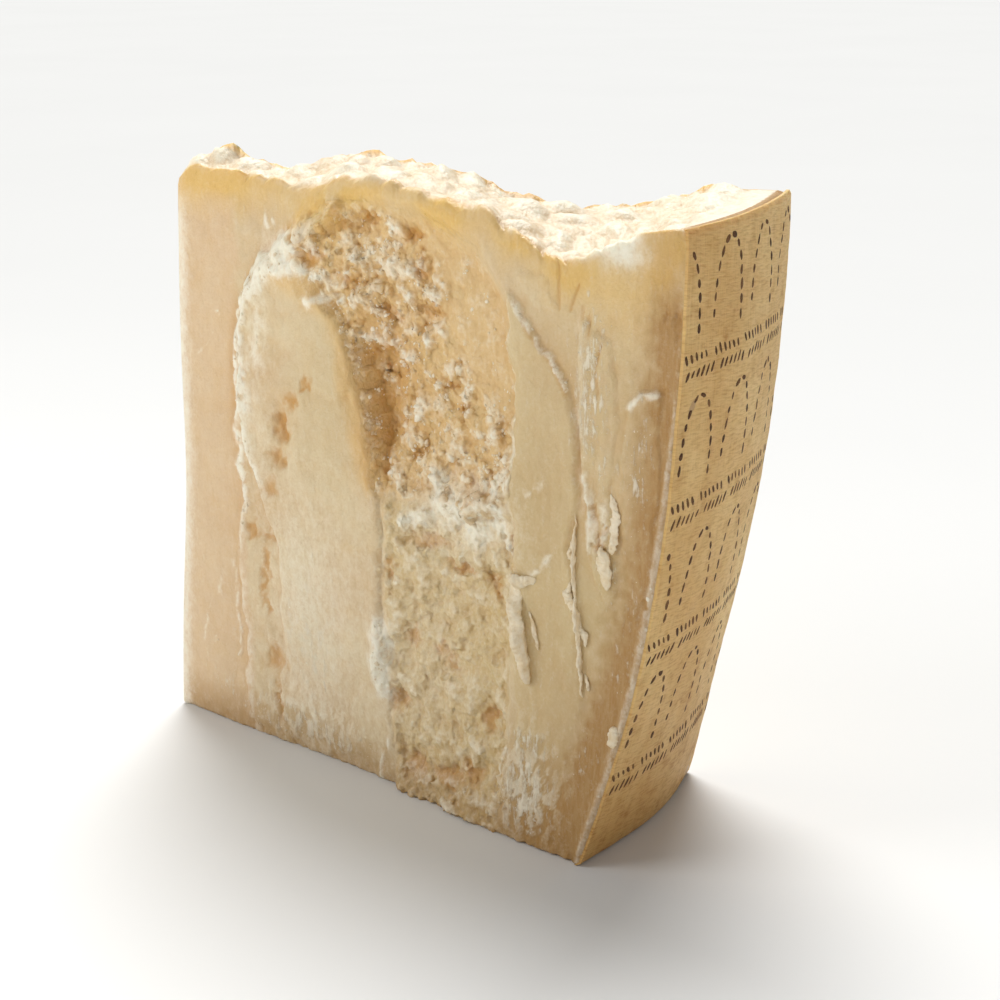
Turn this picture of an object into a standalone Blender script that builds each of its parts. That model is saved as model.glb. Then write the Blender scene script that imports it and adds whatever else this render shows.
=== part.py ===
"""A broken wedge of a hard, grainy grating cheese, standing on the flat face of its wheel.

The wedge is one solid. Its thin end points to -X and its rind to +X, its broken front faces -Y, and its
broken top is rough. Heights, distances and relief are metres, +Z is up, and the origin is the middle of
the bounding box at the level it stands on. Every surface is worked out from the sizes below: a ring of
points round the wedge is repeated at each level, moved in or out by the relief of that side, and closed
by a rough top and a flat base.
"""

from dataclasses import dataclass
import math

import bmesh
import bpy
from mathutils import Vector, noise
from mathutils.geometry import delaunay_2d_cdt
import numpy as np

# The wheel that the wedge was broken from.
WHEEL_RADIUS = 0.210            # axis to rind where the side bulges most
BULGE_LEVEL = 0.185             # height of that widest level
BULGE_CURVE = 0.838             # how fast the side draws in away from it, 1/m
WEDGE_ANGLE = math.radians(21.7)
FOOT_SPREAD = 0.0036            # towards the back, the rind's foot draws in by this much less
TOP_LEVEL = 0.196               # the broken top, before its lumps and dips

# The thin end, which leans: its front edge in the plane of the front face.
TIP_BASE_X = -0.0054
TIP_LEAN = 0.0700               # run along +X for each metre of height
TIP_DENT = 0.0026               # worn back by this much about half way up
TIP_DENT_LEVEL = 0.088
TIP_WIDTH = 0.0035              # the thin end is blunt

# The wheel's axis lies here in the part's own frame.
AXIS_X = -0.1024
AXIS_Y = -0.0357

BASE_ROUNDING = 0.0013          # the edges round the base
CREST_ROUNDING = 0.0030         # the broken edges round the top

# The mesh: columns along each side of the ring, and levels up it.
FRONT_STATIONS = ((0.0, 0.14, 6), (0.14, 0.36, 11), (0.36, 0.54, 14), (0.54, 0.74, 12), (0.74, 1.0, 12))
BACK_COLUMNS = 36
RIND_COLUMNS = 10
LEVELS = 42                     # between the two rounded edges
TOP_SPACING = 0.0044            # between the points inside the rough top
TOP_MARGIN = 0.0026             # those points keep this far inside the ring

CRUMB_TURN = Vector((3.1, 7.7, 1.3))    # moves the crumb's pattern off the origin
BROKEN_TURN = Vector((9.2, 0.4, 5.8))   # and that of the long waves


@dataclass(frozen=True)
class Patch:
    """A part of the front with its own level: positive stands out from the face, negative is sunk."""

    outline: tuple      # points (x from the wheel's axis, height)
    level: float
    slope: float        # width of the slope round it
    lumps: float        # height of the crumb on it
    fades_at: float     # half of its level is left at this height, and none at the base


# A smooth flake that stands out, wide below and with a round shoulder at its upper left.
FLAKE = Patch(
    outline=((0.081, 0.190), (0.066, 0.184), (0.054, 0.177), (0.045, 0.169), (0.038, 0.159), (0.034, 0.147),
             (0.032, 0.128), (0.033, 0.104), (0.041, 0.092), (0.047, 0.074), (0.049, 0.040), (0.050, -0.02),
             (0.104, -0.02), (0.101, 0.040), (0.098, 0.066), (0.100, 0.090), (0.096, 0.103), (0.090, 0.114),
             (0.086, 0.130), (0.082, 0.148), (0.074, 0.163), (0.063, 0.174)),
    level=0.0042, slope=0.007, lumps=0.0, fades_at=0.040)
# The grainy bowl where a piece broke out beside it.
BOWL = Patch(
    outline=((0.064, 0.174), (0.076, 0.188), (0.092, 0.192), (0.116, 0.190), (0.136, 0.182), (0.147, 0.166),
             (0.151, 0.140), (0.149, 0.120), (0.141, 0.108), (0.124, 0.103), (0.104, 0.101), (0.094, 0.106),
             (0.088, 0.122), (0.084, 0.142), (0.076, 0.160)),
    level=-0.0045, slope=0.009, lumps=0.0024, fades_at=0.010)
# The deepest place in the bowl, a cleft under the flake's edge.
CLEFT = Patch(
    outline=((0.082, 0.164), (0.092, 0.163), (0.105, 0.152), (0.108, 0.134), (0.105, 0.116), (0.099, 0.101),
             (0.094, 0.108), (0.090, 0.124), (0.086, 0.146)),
    level=-0.0045, slope=0.011, lumps=0.0, fades_at=0.010)
# The grainy strip below the bowl, down to the base.
STRIP = Patch(
    outline=((0.099, 0.101), (0.122, 0.100), (0.149, 0.104), (0.152, 0.082), (0.148, 0.056), (0.149, 0.030),
             (0.146, -0.02), (0.101, -0.02), (0.101, 0.026), (0.099, 0.050), (0.096, 0.070)),
    level=-0.0028, slope=0.005, lumps=0.0020, fades_at=0.008)
# A low flake with a pointed top, between the grainy places and the rind.
POINTED_FLAKE = Patch(
    outline=((0.150, 0.172), (0.161, 0.161), (0.172, 0.146), (0.175, 0.110), (0.177, 0.060), (0.172, 0.020),
             (0.152, 0.020), (0.153, 0.080), (0.151, 0.120)),
    level=0.0016, slope=0.004, lumps=0.0, fades_at=0.010)
FRONT_PATCHES = (FLAKE, BOWL, CLEFT, STRIP, POINTED_FLAKE)


@dataclass(frozen=True)
class Mound:
    """A round rise, or with a negative height a hollow, on one side of the wedge."""

    x: float
    z: float
    half_width: float
    half_height: float
    height: float

    def share(self, x, z):
        """How much of the mound's height there is at each point."""
        return bell(x - self.x, self.half_width) * bell(z - self.z, self.half_height)


# Curls of paste that the knife pushed up, and pits where grains fell out.
FRONT_MOUNDS = (
    Mound(0.1545, 0.069, 0.0050, 0.020, 0.0034),
    Mound(0.1740, 0.080, 0.0040, 0.032, 0.0022),
    Mound(0.0560, 0.108, 0.0065, 0.016, -0.0036),
    Mound(0.0420, 0.077, 0.0080, 0.006, -0.0026),
    Mound(0.0450, 0.033, 0.0060, 0.008, -0.0022),
    Mound(0.1180, 0.089, 0.0080, 0.005, -0.0024),
    Mound(0.1360, 0.107, 0.0180, 0.006, 0.0016),
)
BACK_MOUNDS = (
    Mound(0.055, 0.135, 0.026, 0.050, -0.0045),
    Mound(0.092, 0.060, 0.024, 0.052, 0.0040),
    Mound(0.136, 0.105, 0.030, 0.042, -0.0060),
    Mound(0.118, 0.172, 0.030, 0.016, -0.0030),
    Mound(0.164, 0.050, 0.020, 0.034, -0.0028),
    Mound(0.176, 0.150, 0.014, 0.036, 0.0020),
)
FRONT_TWIST = 0.0065            # the front stands out by this much at its lower right corner
LONG_WAVES = 0.0009             # gentle unevenness of the broken sides
RIND_WAVES = 0.0004             # and of the rind

# Rises and dips of the top, along its front edge and its back edge: x, half width, height.
FRONT_CREST = ((0.027, 0.012, 0.0028), (0.095, 0.022, 0.0042), (0.171, 0.024, -0.0120))
BACK_CREST = ((0.020, 0.012, 0.0075), (0.047, 0.006, -0.0050), (0.066, 0.026, 0.0078), (0.096, 0.010, 0.0030),
              (0.128, 0.015, -0.0060), (0.152, 0.014, -0.0050))
TOP_LUMPS = 0.0026              # height of the crumb on the top
TOP_LUMP_SIZE = 0.011

# Paste colour and finish.
PASTE_COLOUR = (0.76, 0.60, 0.38, 1.0)
PASTE_ROUGHNESS = 0.55


def rind_radius(z, share):
    """Distance of the rind from the wheel's axis at a height, and a share of the way from front to back."""
    spread = FOOT_SPREAD * ramp(0.018 - z, 0.060) * ramp(share - 0.30, 0.60)
    return WHEEL_RADIUS - BULGE_CURVE * (z - BULGE_LEVEL) ** 2 + spread


def tip_x(z):
    """Where the thin end's front edge is at a height."""
    return TIP_BASE_X + TIP_LEAN * z + TIP_DENT * bell(z - TIP_DENT_LEVEL, 0.040)


def ramp(value, width):
    """A smooth step from 0 to 1, centred where the value is 0."""
    t = np.clip(value / width + 0.5, 0.0, 1.0)
    return t * t * (3.0 - 2.0 * t)


def bell(value, half_width):
    """A rise of 1 that has died away at about twice the half width."""
    return np.exp(-(value / half_width) ** 2)


def depth_inside(x, z, outline):
    """Distance to the edge of a closed outline, negative outside it."""
    nearest = np.full(x.shape, np.inf)
    inside = np.zeros(x.shape, dtype=bool)
    for (ax, az), (bx, bz) in zip(outline, outline[1:] + outline[:1]):
        run, rise = bx - ax, bz - az
        along = np.clip(((x - ax) * run + (z - az) * rise) / (run * run + rise * rise), 0.0, 1.0)
        nearest = np.minimum(nearest, np.hypot(x - ax - along * run, z - az - along * rise))
        if rise != 0.0:
            level_between = (az > z) != (bz > z)
            inside ^= level_between & (x < ax + run * (z - az) / rise)
    return np.where(inside, nearest, -nearest)


def waves(x, y, z, size, turn):
    """Smooth unevenness between about -1 and 1 at each point, with waves of a given size."""
    return np.array([noise.fractal(Vector(p) / size + turn, 1.0, 2.0, 3) for p in zip(x, y, z)])


def crumb(x, y, z, size):
    """Rounded lumps of a given size: 1 on a lump's middle, 0 in the gaps between lumps."""
    distances = [noise.voronoi(Vector(p) / size + CRUMB_TURN)[0][:2] for p in zip(x, y, z)]
    nearest, second = np.array(distances).T
    return np.clip((second - nearest) * 1.6, 0.0, 1.0)


def turned(x, z):
    """How far the front's twist stands out, at its foot near the rind."""
    return FRONT_TWIST * ramp(x - 0.115, 0.09) * ramp(0.030 - z, 0.085)


def front_relief(x, z):
    """How far the broken front stands out from its plane, besides its twist."""
    proud = np.zeros(x.shape)
    lumpy = np.zeros(x.shape)
    for patch in FRONT_PATCHES:
        share = ramp(depth_inside(x, z, patch.outline), patch.slope)
        share = share * ramp(z - patch.fades_at, 2.0 * patch.fades_at)
        proud = proud + patch.level * share
        lumpy = np.maximum(lumpy, patch.lumps * share)
    for mound in FRONT_MOUNDS:
        proud = proud + mound.height * mound.share(x, z)
    flat = np.zeros(x.shape)
    lumps = crumb(x, flat, z, 0.009) - 0.5
    return proud + lumpy * lumps + LONG_WAVES * waves(x, flat, z, 0.030, BROKEN_TURN)


def back_relief(x, z):
    """How far the broken back stands out from its plane."""
    proud = np.zeros(x.shape)
    hollow = np.zeros(x.shape)
    for mound in BACK_MOUNDS:
        share = mound.share(x, z)
        proud = proud + mound.height * share
        if mound.height < 0.0:
            hollow = np.maximum(hollow, share)
    away = np.full(x.shape, 0.08)
    lumps = crumb(x, away, z, 0.010) - 0.5
    return proud + STRIP.lumps * hollow * lumps + 1.5 * LONG_WAVES * waves(x, away, z, 0.028, BROKEN_TURN)


def top_height(x, y):
    """Height of the rough top, from the rises and dips of its two edges and its crumb."""
    share = ramp(np.arctan2(y, np.maximum(x, 0.001)) / WEDGE_ANGLE - 0.5, 1.0)
    front = sum(height * bell(x - at, width) for at, width, height in FRONT_CREST)
    back = sum(height * bell(x - at, width) for at, width, height in BACK_CREST)
    smooth = TOP_LEVEL + front * (1.0 - share) + back * share
    rough = 1.0 - ramp(np.hypot(x, y) - 0.197, 0.016)
    lumps = crumb(x, y, np.full(x.shape, TOP_LEVEL), TOP_LUMP_SIZE) - 0.5
    lumps = lumps + 0.5 * waves(x, y, smooth, 1.3 * TOP_LUMP_SIZE, CRUMB_TURN)
    return smooth + TOP_LUMPS * rough * lumps


def stations():
    """Shares of the way along the front, closer together where its relief is."""
    shares = [0.0]
    for start, end, columns in FRONT_STATIONS:
        shares += [start + (end - start) * (i + 1) / columns for i in range(columns)]
    return shares


def ring_plan():
    """The ring's columns as (side, share along it), anticlockwise from above and starting at the thin end."""
    plan = [("front", share) for share in stations()]
    plan += [("rind", (i + 1) / RIND_COLUMNS) for i in range(RIND_COLUMNS)]
    plan += [("back", 1.0 - (i + 1) / BACK_COLUMNS) for i in range(BACK_COLUMNS)]
    return plan


def edge_share(shares, width, length):
    """1 along a side and 0 at both its ends, so that neighbouring sides meet."""
    return ramp(shares * length - width / 2, width) * ramp((1.0 - shares) * length - width / 2, width)


def side_points(side, shares, z):
    """Points of one side at given shares along it and heights, on the broken or rind surface."""
    radius = rind_radius(z, {"front": 0.0, "rind": shares, "back": 1.0}[side])
    corner = np.stack([radius * math.cos(WEDGE_ANGLE), radius * math.sin(WEDGE_ANGLE)])
    tip = np.stack([tip_x(z) + 0.3 * TIP_WIDTH, np.full(z.shape, TIP_WIDTH)])
    if side == "front":
        x = tip_x(z) + shares * (radius - tip_x(z))
        return np.stack([x, -front_relief(x, z) * edge_share(shares, 0.008, WHEEL_RADIUS) - turned(x, z)])
    if side == "rind":
        angle = shares * WEDGE_ANGLE
        points = np.stack([radius * np.cos(angle), radius * np.sin(angle)])
        out = RIND_WAVES * waves(*points, z, 0.035, BROKEN_TURN) * edge_share(shares, 0.010, 0.078)
        step = np.stack([np.cos(angle), np.sin(angle)]) * out
        return points + step - np.stack([0.0 * z, (1.0 - shares) * turned(radius, z)])
    x, y = tip + shares * (corner - tip)
    out = back_relief(x, z) * edge_share(shares, 0.010, WHEEL_RADIUS)
    return np.stack([x - math.sin(WEDGE_ANGLE) * out, y + math.cos(WEDGE_ANGLE) * out])


def wedge_rings():
    """The ring's points at every level, as an array of levels by columns by 3, in the wheel's frame."""
    plan = ring_plan()
    sides = np.array([side for side, _ in plan])
    shares = np.array([share for _, share in plan])
    middle = np.array([0.12, 0.025])
    crest = np.full(len(plan), TOP_LEVEL)
    for _ in range(2):      # the crest's height and the place of its points depend on each other
        top = ring_at(sides, shares, crest)
        crest = top_height(*top)
    rings = []
    for z in ring_heights(crest):
        plane = ring_at(sides, shares, z)
        inward = middle[:, None] - plane
        inward = inward / np.hypot(*inward)
        step_in = rounding(z, BASE_ROUNDING) + 0.7 * rounding(crest - z, CREST_ROUNDING)
        rings.append(np.stack([*(plane + inward * step_in), z], axis=-1))
    return np.array(rings)


def rounding(distance, radius):
    """How far a rounded edge lies inside its side, at a distance from the edge."""
    return radius * (1.0 - np.sqrt(1.0 - np.clip(1.0 - distance / radius, 0.0, 1.0) ** 2))


def ring_heights(crest):
    """Heights of each ring's points: close together over the rounded edges, and even between them."""
    low = [crest * 0.0, crest * 0.0 + 0.3 * BASE_ROUNDING]
    high = [crest - 0.3 * CREST_ROUNDING, crest]
    start, end = BASE_ROUNDING, crest - CREST_ROUNDING
    even = [start + (end - start) * level / LEVELS for level in range(LEVELS + 1)]
    return low + even + high


def ring_at(sides, shares, z):
    """One ring of points, each on its own side."""
    plane = np.zeros((2, len(shares)))
    for side in ("front", "rind", "back"):
        on = sides == side
        plane[:, on] = side_points(side, shares[on], z[on])
    return plane


def top_inside(ring):
    """Points spread over the top inside its ring, on a staggered grid."""
    low, high = ring[:, :2].min(axis=0), ring[:, :2].max(axis=0)
    rows = np.arange(low[1], high[1], TOP_SPACING * math.sqrt(0.75))
    x, y = [], []
    for i, row in enumerate(rows):
        along = np.arange(low[0] + 0.5 * TOP_SPACING * (i % 2), high[0], TOP_SPACING)
        x.extend(along)
        y.extend([row] * len(along))
    x, y = np.array(x), np.array(y)
    keep = depth_inside(x, y, tuple(map(tuple, ring[:, :2]))) > TOP_MARGIN
    x, y = x[keep], y[keep]
    return np.stack([x, y, top_height(x, y)], axis=-1)


def make_wedge():
    """The whole wedge as one closed mesh."""
    rings = wedge_rings() + np.array([AXIS_X, AXIS_Y, 0.0])
    levels, columns = rings.shape[:2]
    inside = top_inside(rings[-1] - np.array([AXIS_X, AXIS_Y, 0.0])) + np.array([AXIS_X, AXIS_Y, 0.0])

    wedge = bmesh.new()
    verts = [[wedge.verts.new(point) for point in ring] for ring in rings]
    for lower, upper in zip(verts, verts[1:]):
        for i in range(columns):
            j = (i + 1) % columns
            wedge.faces.new((lower[i], lower[j], upper[j], upper[i]))
    wedge.faces.new(reversed(verts[0]))

    flat = [Vector(point[:2]) for point in (*rings[-1], *inside)]
    crest = verts[-1] + [wedge.verts.new(point) for point in inside]
    outline = [list(range(columns))]
    _, _, triangles, sources, _, _ = delaunay_2d_cdt(flat, [], outline, 1, 1e-7)
    for triangle in triangles:
        wedge.faces.new([crest[sources[i][0]] for i in triangle])

    bmesh.ops.recalc_face_normals(wedge, faces=wedge.faces)
    mesh = bpy.data.meshes.new("cheese")
    wedge.to_mesh(mesh)
    wedge.free()
    mesh.shade_smooth()
    mesh.set_sharp_from_angle(angle=math.radians(50))
    return mesh


def paste_material():
    """The cream-coloured paste."""
    material = bpy.data.materials.new("paste")
    material.use_nodes = True
    shader = material.node_tree.nodes["Principled BSDF"]
    shader.inputs["Base Color"].default_value = PASTE_COLOUR
    shader.inputs["Roughness"].default_value = PASTE_ROUGHNESS
    shader.inputs["Metallic"].default_value = 0.0
    material.diffuse_color = PASTE_COLOUR
    return material


def main():
    """Clear the scene and stand the wedge in it."""
    for leftover in list(bpy.data.objects):
        bpy.data.objects.remove(leftover)
    mesh = make_wedge()
    mesh.materials.append(paste_material())
    bpy.context.scene.collection.objects.link(bpy.data.objects.new("cheese", mesh))


main()
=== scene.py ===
"""Looks of a broken wedge of a hard, grainy grating cheese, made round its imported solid.

The wedge is remade as a fine mesh from the same named sizes as its solid, with the torn edges, crumb,
pits and crests of a piece that was broken rather than cut. A thin rind with a plain stamped ornament,
loose crumbs, frost flecks and curls of paste are pieces of their own. Lengths are metres.
"""

from dataclasses import astuple, dataclass, field
from enum import Enum
import functools
import logging
import math
from typing import Any, Callable, Iterable, Sequence

import bpy
from mathutils import Matrix, Vector, noise
from mathutils.geometry import delaunay_2d_cdt
import numpy as np


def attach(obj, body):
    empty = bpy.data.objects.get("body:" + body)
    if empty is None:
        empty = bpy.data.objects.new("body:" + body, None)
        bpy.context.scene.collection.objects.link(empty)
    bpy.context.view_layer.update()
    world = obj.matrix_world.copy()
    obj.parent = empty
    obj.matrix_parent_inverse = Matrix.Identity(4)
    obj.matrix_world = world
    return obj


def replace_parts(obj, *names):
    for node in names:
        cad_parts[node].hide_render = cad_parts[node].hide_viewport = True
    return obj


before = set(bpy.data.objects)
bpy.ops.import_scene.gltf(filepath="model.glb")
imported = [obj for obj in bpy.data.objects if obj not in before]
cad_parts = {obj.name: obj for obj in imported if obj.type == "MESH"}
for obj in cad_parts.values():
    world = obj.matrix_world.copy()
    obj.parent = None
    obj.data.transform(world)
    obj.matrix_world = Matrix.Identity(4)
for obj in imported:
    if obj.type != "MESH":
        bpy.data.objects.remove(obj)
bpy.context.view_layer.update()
TENTHS = 10000      # tenths of a millimetre in a metre
PERCENT = 100
LUMPS = (3.1, 7.7, 1.3)     # turn of the pattern of large lumps, which several forms share
LEVEL = (9.2, 0.4, 5.8)     # turn of the broad unevenness

Array = np.ndarray
Colour = tuple[float, float, float, float]
Point = tuple[float, float]
Quad = tuple[int, ...]
log = logging.getLogger("cheese")


# --- Numbers, curves and noise that every surface shares ---

def srgb(*levels: int) -> Colour:
    """A screen colour's red, green and blue, 0 to 255, as the linear colour that shaders use."""
    shares = [level / 255.0 for level in levels]
    return *(s / 12.92 if s <= 0.04045 else ((s + 0.055) / 1.055) ** 2.4 for s in shares), 1.0


def tenths(*values: int) -> tuple[float, ...]:
    """Lengths in metres from tenths of a millimetre."""
    return tuple(value / TENTHS for value in values)


def run(*values: int) -> tuple[Point, ...]:
    """Points in metres from tenths of a millimetre, both coordinates in turn."""
    metres = tenths(*values)
    return tuple(zip(metres[::2], metres[1::2]))


def held(value: Array) -> Array:
    """The value held between 0 and 1."""
    return np.clip(value, 0.0, 1.0)


def ramp(value: Array, width: float) -> Array:
    """A smooth step from 0 to 1, centred where the value is 0."""
    t = held(value / width + 0.5)
    return t * t * (3.0 - 2.0 * t)


def bell(value: Array, half_width: float) -> Array:
    """A rise of 1 that has died away at about twice the half width."""
    return np.exp(-(value / half_width) ** 2)


def rows(*columns: Any) -> Array:
    """Points from their coordinates, one row each."""
    return np.stack(np.broadcast_arrays(*columns), axis=-1)


def chances(seeds: Array) -> Array:
    """Numbers between 0 and 1 that look random and depend on nothing but the seeds."""
    return np.modf(np.abs(np.sin(seeds) * 43758.55))[0]


def waves(points: Array, size: float, turn: Sequence[float], octaves: int = 3) -> Array:
    """Smooth unevenness between about -1 and 1.

    Args:
        points: Places, one row each.
        size: Length of the largest waves.
        turn: Moves the pattern, so that two uses of it differ.
        octaves: How many times finer waves are added.

    Returns:
        One value for each point.
    """
    return np.array([noise.fractal(p, 1.0, 2.0, octaves) for p in points / size + np.array(turn)])


def gaps(points: Array, size: float, turn: Sequence[float]) -> Array:
    """How far each point is from the nearest gap between lumps of a size, 0 in it and 1 on a lump."""
    nearest, second = np.array([noise.voronoi(p)[0][:2] for p in points / size + np.array(turn)]).T
    return held((second - nearest) * 1.6)


def shards(points: Array, size: float, turn: Sequence[float]) -> Array:
    """Heights, about -1 to 1, of angular fragments packed side by side, each with its own level and tilt."""
    moved = points / size + np.array(turn)
    found = [noise.voronoi(p) for p in moved]
    distances = np.array([pair[0][:2] for pair in found])
    middles = np.array([[tuple(place) for place in pair[1][:2]] for pair in found])
    seeds = [middles @ np.array(k) for k in (
        (12.99, 78.23, 37.72), (39.35, 11.14, 83.16), (73.16, 52.24, 9.15), (26.65, 64.33, 51.77))]
    random = chances(np.stack(seeds, axis=-1)) * 2.0 - 1.0
    tilt = np.sum((moved[:, None, :] - middles) * random[..., :3], axis=-1)
    heights = 0.6 * random[..., 3] + 1.1 * tilt
    share = 0.5 + 0.5 * ramp((distances[:, 1] - distances[:, 0]) / 0.35 - 0.5, 1.0)
    return heights[:, 0] * share + heights[:, 1] * (1.0 - share)


def pebbles(x: Array, z: Array, size: float, seed: float) -> tuple[Array, Array]:
    """Round grains of unlike sizes, packed over a plane.

    Args:
        x: Places along the plane.
        z: Places up the plane.
        size: About the width of a grain.
        seed: Tells one pattern from another.

    Returns:
        For each point, the height of its grain in half widths (0 in the gaps), and a chance from 0 to 1
        that all of its grain shares.
    """
    column, row = np.floor(x / size), np.floor(z / size)
    height, chance = np.zeros(x.shape), np.zeros(x.shape)
    for a, b in ((column + i, row + j) for i in (-1, 0, 1) for j in (-1, 0, 1)):
        random = [chances(a * k + b * m + seed)
                  for k, m in ((12.71, 31.17), (26.95, 18.33), (41.92, 37.19), (9.54, 5.73))]
        radius = 0.42 + 0.38 * random[2]
        away = np.hypot(x / size - a - random[0], z / size - b - random[1]) / radius
        dome = radius * np.sqrt(held(1.0 - away ** 2))
        chance = np.where(dome > height, random[3], chance)
        height = np.maximum(height, dome)
    return height / 0.8, chance


def distance_to_run(x: Array, z: Array, start: Point, end: Point) -> Array:
    """Distance from each point to a straight run."""
    along, up = end[0] - start[0], end[1] - start[1]
    share = held(((x - start[0]) * along + (z - start[1]) * up) / (along * along + up * up))
    return np.hypot(x - start[0] - share * along, z - start[1] - share * up)


def depth_inside(x: Array, z: Array, outline: Sequence[Point]) -> Array:
    """Distance to the edge of a closed outline, negative outside it."""
    nearest, inside = np.full(x.shape, np.inf), np.zeros(x.shape, dtype=bool)
    for (ax, az), (bx, bz) in zip(outline, [*outline[1:], outline[0]]):
        nearest = np.minimum(nearest, distance_to_run(x, z, (ax, az), (bx, bz)))
        if bz != az:
            inside ^= ((az > z) != (bz > z)) & (x < ax + (bx - ax) * (z - az) / (bz - az))
    return np.where(inside, nearest, -nearest)


def blur(grid: Array, reach: int) -> Array:
    """The mean of each place's neighbours in a grid, as far as a reach both ways."""
    width = 2 * reach + 1
    for axis in (0, 1):
        pad = [(reach + 1, reach) if axis == k else (0, 0) for k in (0, 1)]
        total = np.cumsum(np.pad(grid, pad, mode="edge"), axis=axis)
        upper, lower = (np.take(total, range(low, low + grid.shape[axis]), axis=axis) for low in (width, 0))
        grid = (upper - lower) / width
    return grid


def quads(levels: int, columns: int, closed: bool) -> list[Quad]:
    """The faces between neighbouring rows of points, which are rings where closed."""
    ids = np.arange(levels * columns).reshape(levels, columns)
    ids = np.concatenate([ids, ids[:, :1]], axis=1) if closed else ids
    corners = np.stack([ids[:-1, :-1], ids[:-1, 1:], ids[1:, 1:], ids[1:, :-1]], axis=-1)
    return [tuple(quad) for quad in corners.reshape(-1, 4).tolist()]


def border(levels: int, columns: int) -> list[int]:
    """The points round a grid, anticlockwise from its first one."""
    ids = np.arange(levels * columns).reshape(levels, columns)
    return np.concatenate([ids[0], ids[1:, -1], ids[-1, -2::-1], ids[-2:0:-1, 0]]).tolist()


def placed(name: str, data: Any) -> bpy.types.Object:
    """A new object in the scene."""
    thing = bpy.data.objects.new(name, data)
    bpy.context.scene.collection.objects.link(thing)
    return thing


@dataclass
class Surface:
    """Points, faces and masks of a mesh that is still to be made."""

    points: Array
    faces: list[Quad]
    masks: dict[str, Array]

    def mesh(self, name: str) -> bpy.types.Mesh:
        """The mesh, smooth, with its masks as attributes."""
        mesh = bpy.data.meshes.new(name)
        mesh.from_pydata(self.points.tolist(), [], self.faces)
        for mask, values in self.masks.items():
            mesh.attributes.new(mask, "FLOAT", "POINT").data.foreach_set("value", values.astype(np.float32))
        mesh.shade_smooth()
        mesh.validate()
        return mesh

    def joined(self, other: "Surface") -> "Surface":
        """This surface and another as one."""
        count = len(self.points)
        faces = self.faces + [tuple(count + i for i in face) for face in other.faces]
        masks = {name: np.concatenate([values, other.masks.get(name, np.zeros(len(other.points)))])
                 for name, values in self.masks.items()}
        return Surface(np.concatenate([self.points, other.points]), faces, masks)


# --- Node trees written as expressions ---

def math_method(operation: str, flipped: bool = False) -> Callable[["Value", Any], "Value"]:
    """A method that adds one Math node for an operator, flipped where the value stands on its right."""
    def method(self: "Value", other: Any) -> "Value":
        """The node's result."""
        return self.tree.math(operation, *((other, self) if flipped else (self, other)))
    return method


class Value:
    """A socket whose ordinary arithmetic adds Math nodes."""

    def __init__(self, tree: "Tree", socket: bpy.types.NodeSocket) -> None:
        """Remember the tree that the socket is in."""
        self.tree, self.socket = tree, socket

    __add__ = __radd__ = math_method("ADD")
    __mul__ = __rmul__ = math_method("MULTIPLY")
    __sub__, __rsub__ = math_method("SUBTRACT"), math_method("SUBTRACT", flipped=True)
    __pow__ = math_method("POWER")

    def step(self, low: float, high: float) -> "Value":
        """A smooth step from 0 at one value to 1 at another."""
        return self.tree.node("ShaderNodeMapRange", {"interpolation_type": "SMOOTHSTEP"}, self, low, high)

    def kept(self) -> "Value":
        """The value held between 0 and 1."""
        return self.tree.node("ShaderNodeClamp", {}, self)


class Tree:
    """A node tree that is built by calls."""

    def __init__(self, nodes: bpy.types.NodeTree) -> None:
        """Start on a tree."""
        self.nodes = nodes

    def node(self, kind: str, settings: dict[str, Any], *values: Any, pick: int | str = 0,
             **named: Any) -> Value:
        """Add a node.

        Args:
            kind: The node's type.
            settings: Its own settings, which are set first.
            *values: Links or numbers for its sockets in order; None leaves one as it is.
            pick: Which output to return.
            **named: Links or numbers for sockets by name, with _ for a space.

        Returns:
            The chosen output.
        """
        node = self.nodes.nodes.new(kind)
        for name, setting in settings.items():
            setattr(node, name, setting)
        for socket, value in zip(node.inputs, values):
            self.feed(socket, value)
        self.feed_all(node, named)
        return Value(self, node.outputs[pick] if len(node.outputs) else node.inputs[0])

    def feed(self, socket: bpy.types.NodeSocket, value: Any) -> None:
        """Link a value to a socket, or set the socket to a number."""
        if isinstance(value, Value):
            self.nodes.links.new(value.socket, socket)
        elif value is not None:
            socket.default_value = value

    def feed_all(self, node: bpy.types.Node, named: dict[str, Any]) -> None:
        """Feed a node's sockets by name, with _ for a space."""
        for name, value in named.items():
            self.feed(node.inputs[name.replace("_", " ")], value)

    def math(self, operation: str, *values: Any) -> Value:
        """One Math node."""
        return self.node("ShaderNodeMath", {"operation": operation}, *values)

    def vector(self, operation: str, *values: Any) -> Value:
        """One Vector Math node."""
        return self.node("ShaderNodeVectorMath", {"operation": operation}, *values)

    def scaled(self, vector: Value, size: Any) -> Value:
        """A vector times a number."""
        return self.vector("SCALE", vector, None, None, size)

    def place(self) -> Value:
        """The place on the object."""
        return self.node("ShaderNodeTexCoord", {}, pick="Object")

    def mask(self, name: str) -> Value:
        """A mask that the mesh carries."""
        return self.node("ShaderNodeAttribute", {"attribute_name": name}, pick="Fac")

    def layers(self, colour: Any, *coats: tuple[Any, Value]) -> Value:
        """A colour under coats of others, each with the share that shows."""
        for coat, share in coats:
            sockets = (share, *[None] * 5, colour, coat)
            colour = self.node("ShaderNodeMix", {"data_type": "RGBA"}, *sockets, pick=2)
        return colour

    def cloud(self, place: Value, size: Any, detail: float = 3.0, rough: float = 0.55) -> Value:
        """Noise between 0 and 1 whose blots have a given size, or one along each axis."""
        scaled = self.vector("DIVIDE", place, (size,) * 3 if isinstance(size, float) else size)
        return self.node("ShaderNodeTexNoise", {}, Vector=scaled, Scale=1.0, Detail=detail, Roughness=rough)


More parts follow.
